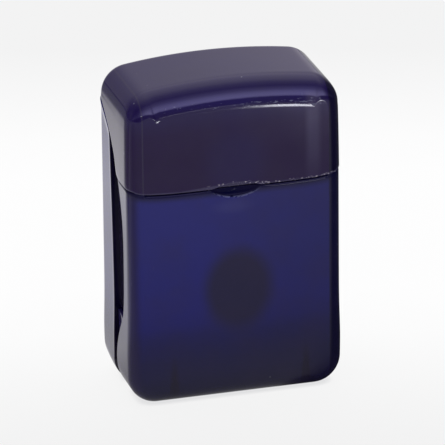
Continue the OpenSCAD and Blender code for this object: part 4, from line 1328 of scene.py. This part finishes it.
def make_lead():
    path, length = lead_path()
    radii = np.full(len(path), STRAND / 2)
    radii[0] *= 0.7
    radii[-1] *= 0.75
    ob = piece("floss_strand", tube(path, radii, 12), MAT_FLOSS, sharp=70, weighted=False)
    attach(ob, "front_body")
    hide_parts("floss_lead")
    [tuple(p / 1000) for p in path]


def make_clip():
    """Steel strip bent over the seat, with a window and a toothed edge bent up from it."""
    y0, y1 = Y_NECK + 0.01, Y_NECK + CLIP_D - 0.01
    top, r = SEAT_TOP + STEEL, 0.42

    def bend(off):
        """Side view line of the strip, off inside the outer face."""
        turn = np.linspace(0, math.pi / 2, 9)
        rise = [(y0 + r - (r - off) * math.cos(a), top - r + (r - off) * math.sin(a)) for a in turn]
        fall = [(y1 - r + (r - off) * math.sin(a), top - r + (r - off) * math.cos(a)) for a in turn]
        return [(y0 + off, DECK - 5), *rise, *fall, (y1 - off, DECK - 0.6)]

    cuts = []
    # The back leg is narrowed
    for s in (-1, 1):
        x = sorted((s * CLIP_W / 4, s * (CLIP_W / 2 + 1)))
        cuts.append(block(*x, y1 - STEEL - 0.05, y1 + 1, DECK - 2, SEAT_TOP - 0.2))
    # Window that the tooth is bent out of
    cuts.append(block(-1.65, 1.65, TOOTH_Y, TOOTH_Y + 1.5, SEAT_TOP - 1, SEAT_TOP + 1))
    # The foot of the front leg is narrowed
    for s in (-1, 1):
        cuts.append(solid([(s * (CLIP_W / 2 + 0.1), DECK - 5.1),
                           (s * (CLIP_W / 2 - 1.3), DECK - 5.1),
                           (s * (CLIP_W / 2 + 0.1), DECK - 3.7)], "y", y0 - 1, y0 + 1))
    strip = combine(solid(bend(0.0) + bend(STEEL)[::-1], "x", -CLIP_W / 2, CLIP_W / 2),
                    "DIFFERENCE", *cuts)
    ob = piece("cutter_strip", bevel(strip, 0.035, 2, angle=40), MAT_STEEL, sharp=45)
    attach(ob, "front_body")
    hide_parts("cutter_clip")

    # Tooth: a plate with five points, ground thin towards them
    bm = bmesh.new()
    teeth, lean = 5, math.radians(12)
    outline = [(-TOOTH_HALF, -0.12), (TOOTH_HALF, -0.12), (TOOTH_HALF, 1.02)]
    for k in range(2 * teeth - 1):
        outline.append((TOOTH_HALF - TOOTH_HALF * (k + 1) / teeth, 1.1 if k % 2 else 1.68))
    outline.append((-TOOTH_HALF, 1.02))
    rows = []
    for off, off_tip in ((0.0, 0.5 * STEEL - 0.02), (STEEL, 0.5 * STEEL + 0.02)):
        rows.append([])
        for x, h in outline:
            o = off if h < 1.2 else off_tip
            rows[-1].append((x, TOOTH_Y + STEEL - h * math.sin(lean) - o * math.cos(lean),
                             SEAT_TOP + h * math.cos(lean) - o * math.sin(lean)))
    made = grid(bm, rows, wrap=True)
    bm.faces.new(made[0])
    bm.faces.new(made[1][::-1])
    ob = piece("cutter_tooth", bm, MAT_STEEL, sharp=20, weighted=False)
    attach(ob, "front_body")


make_lid()
make_skin()
make_tongue()
make_neck()
make_post()
make_cover()
make_hinges()
make_bobbin()
make_floss()
make_lead()
make_clip()
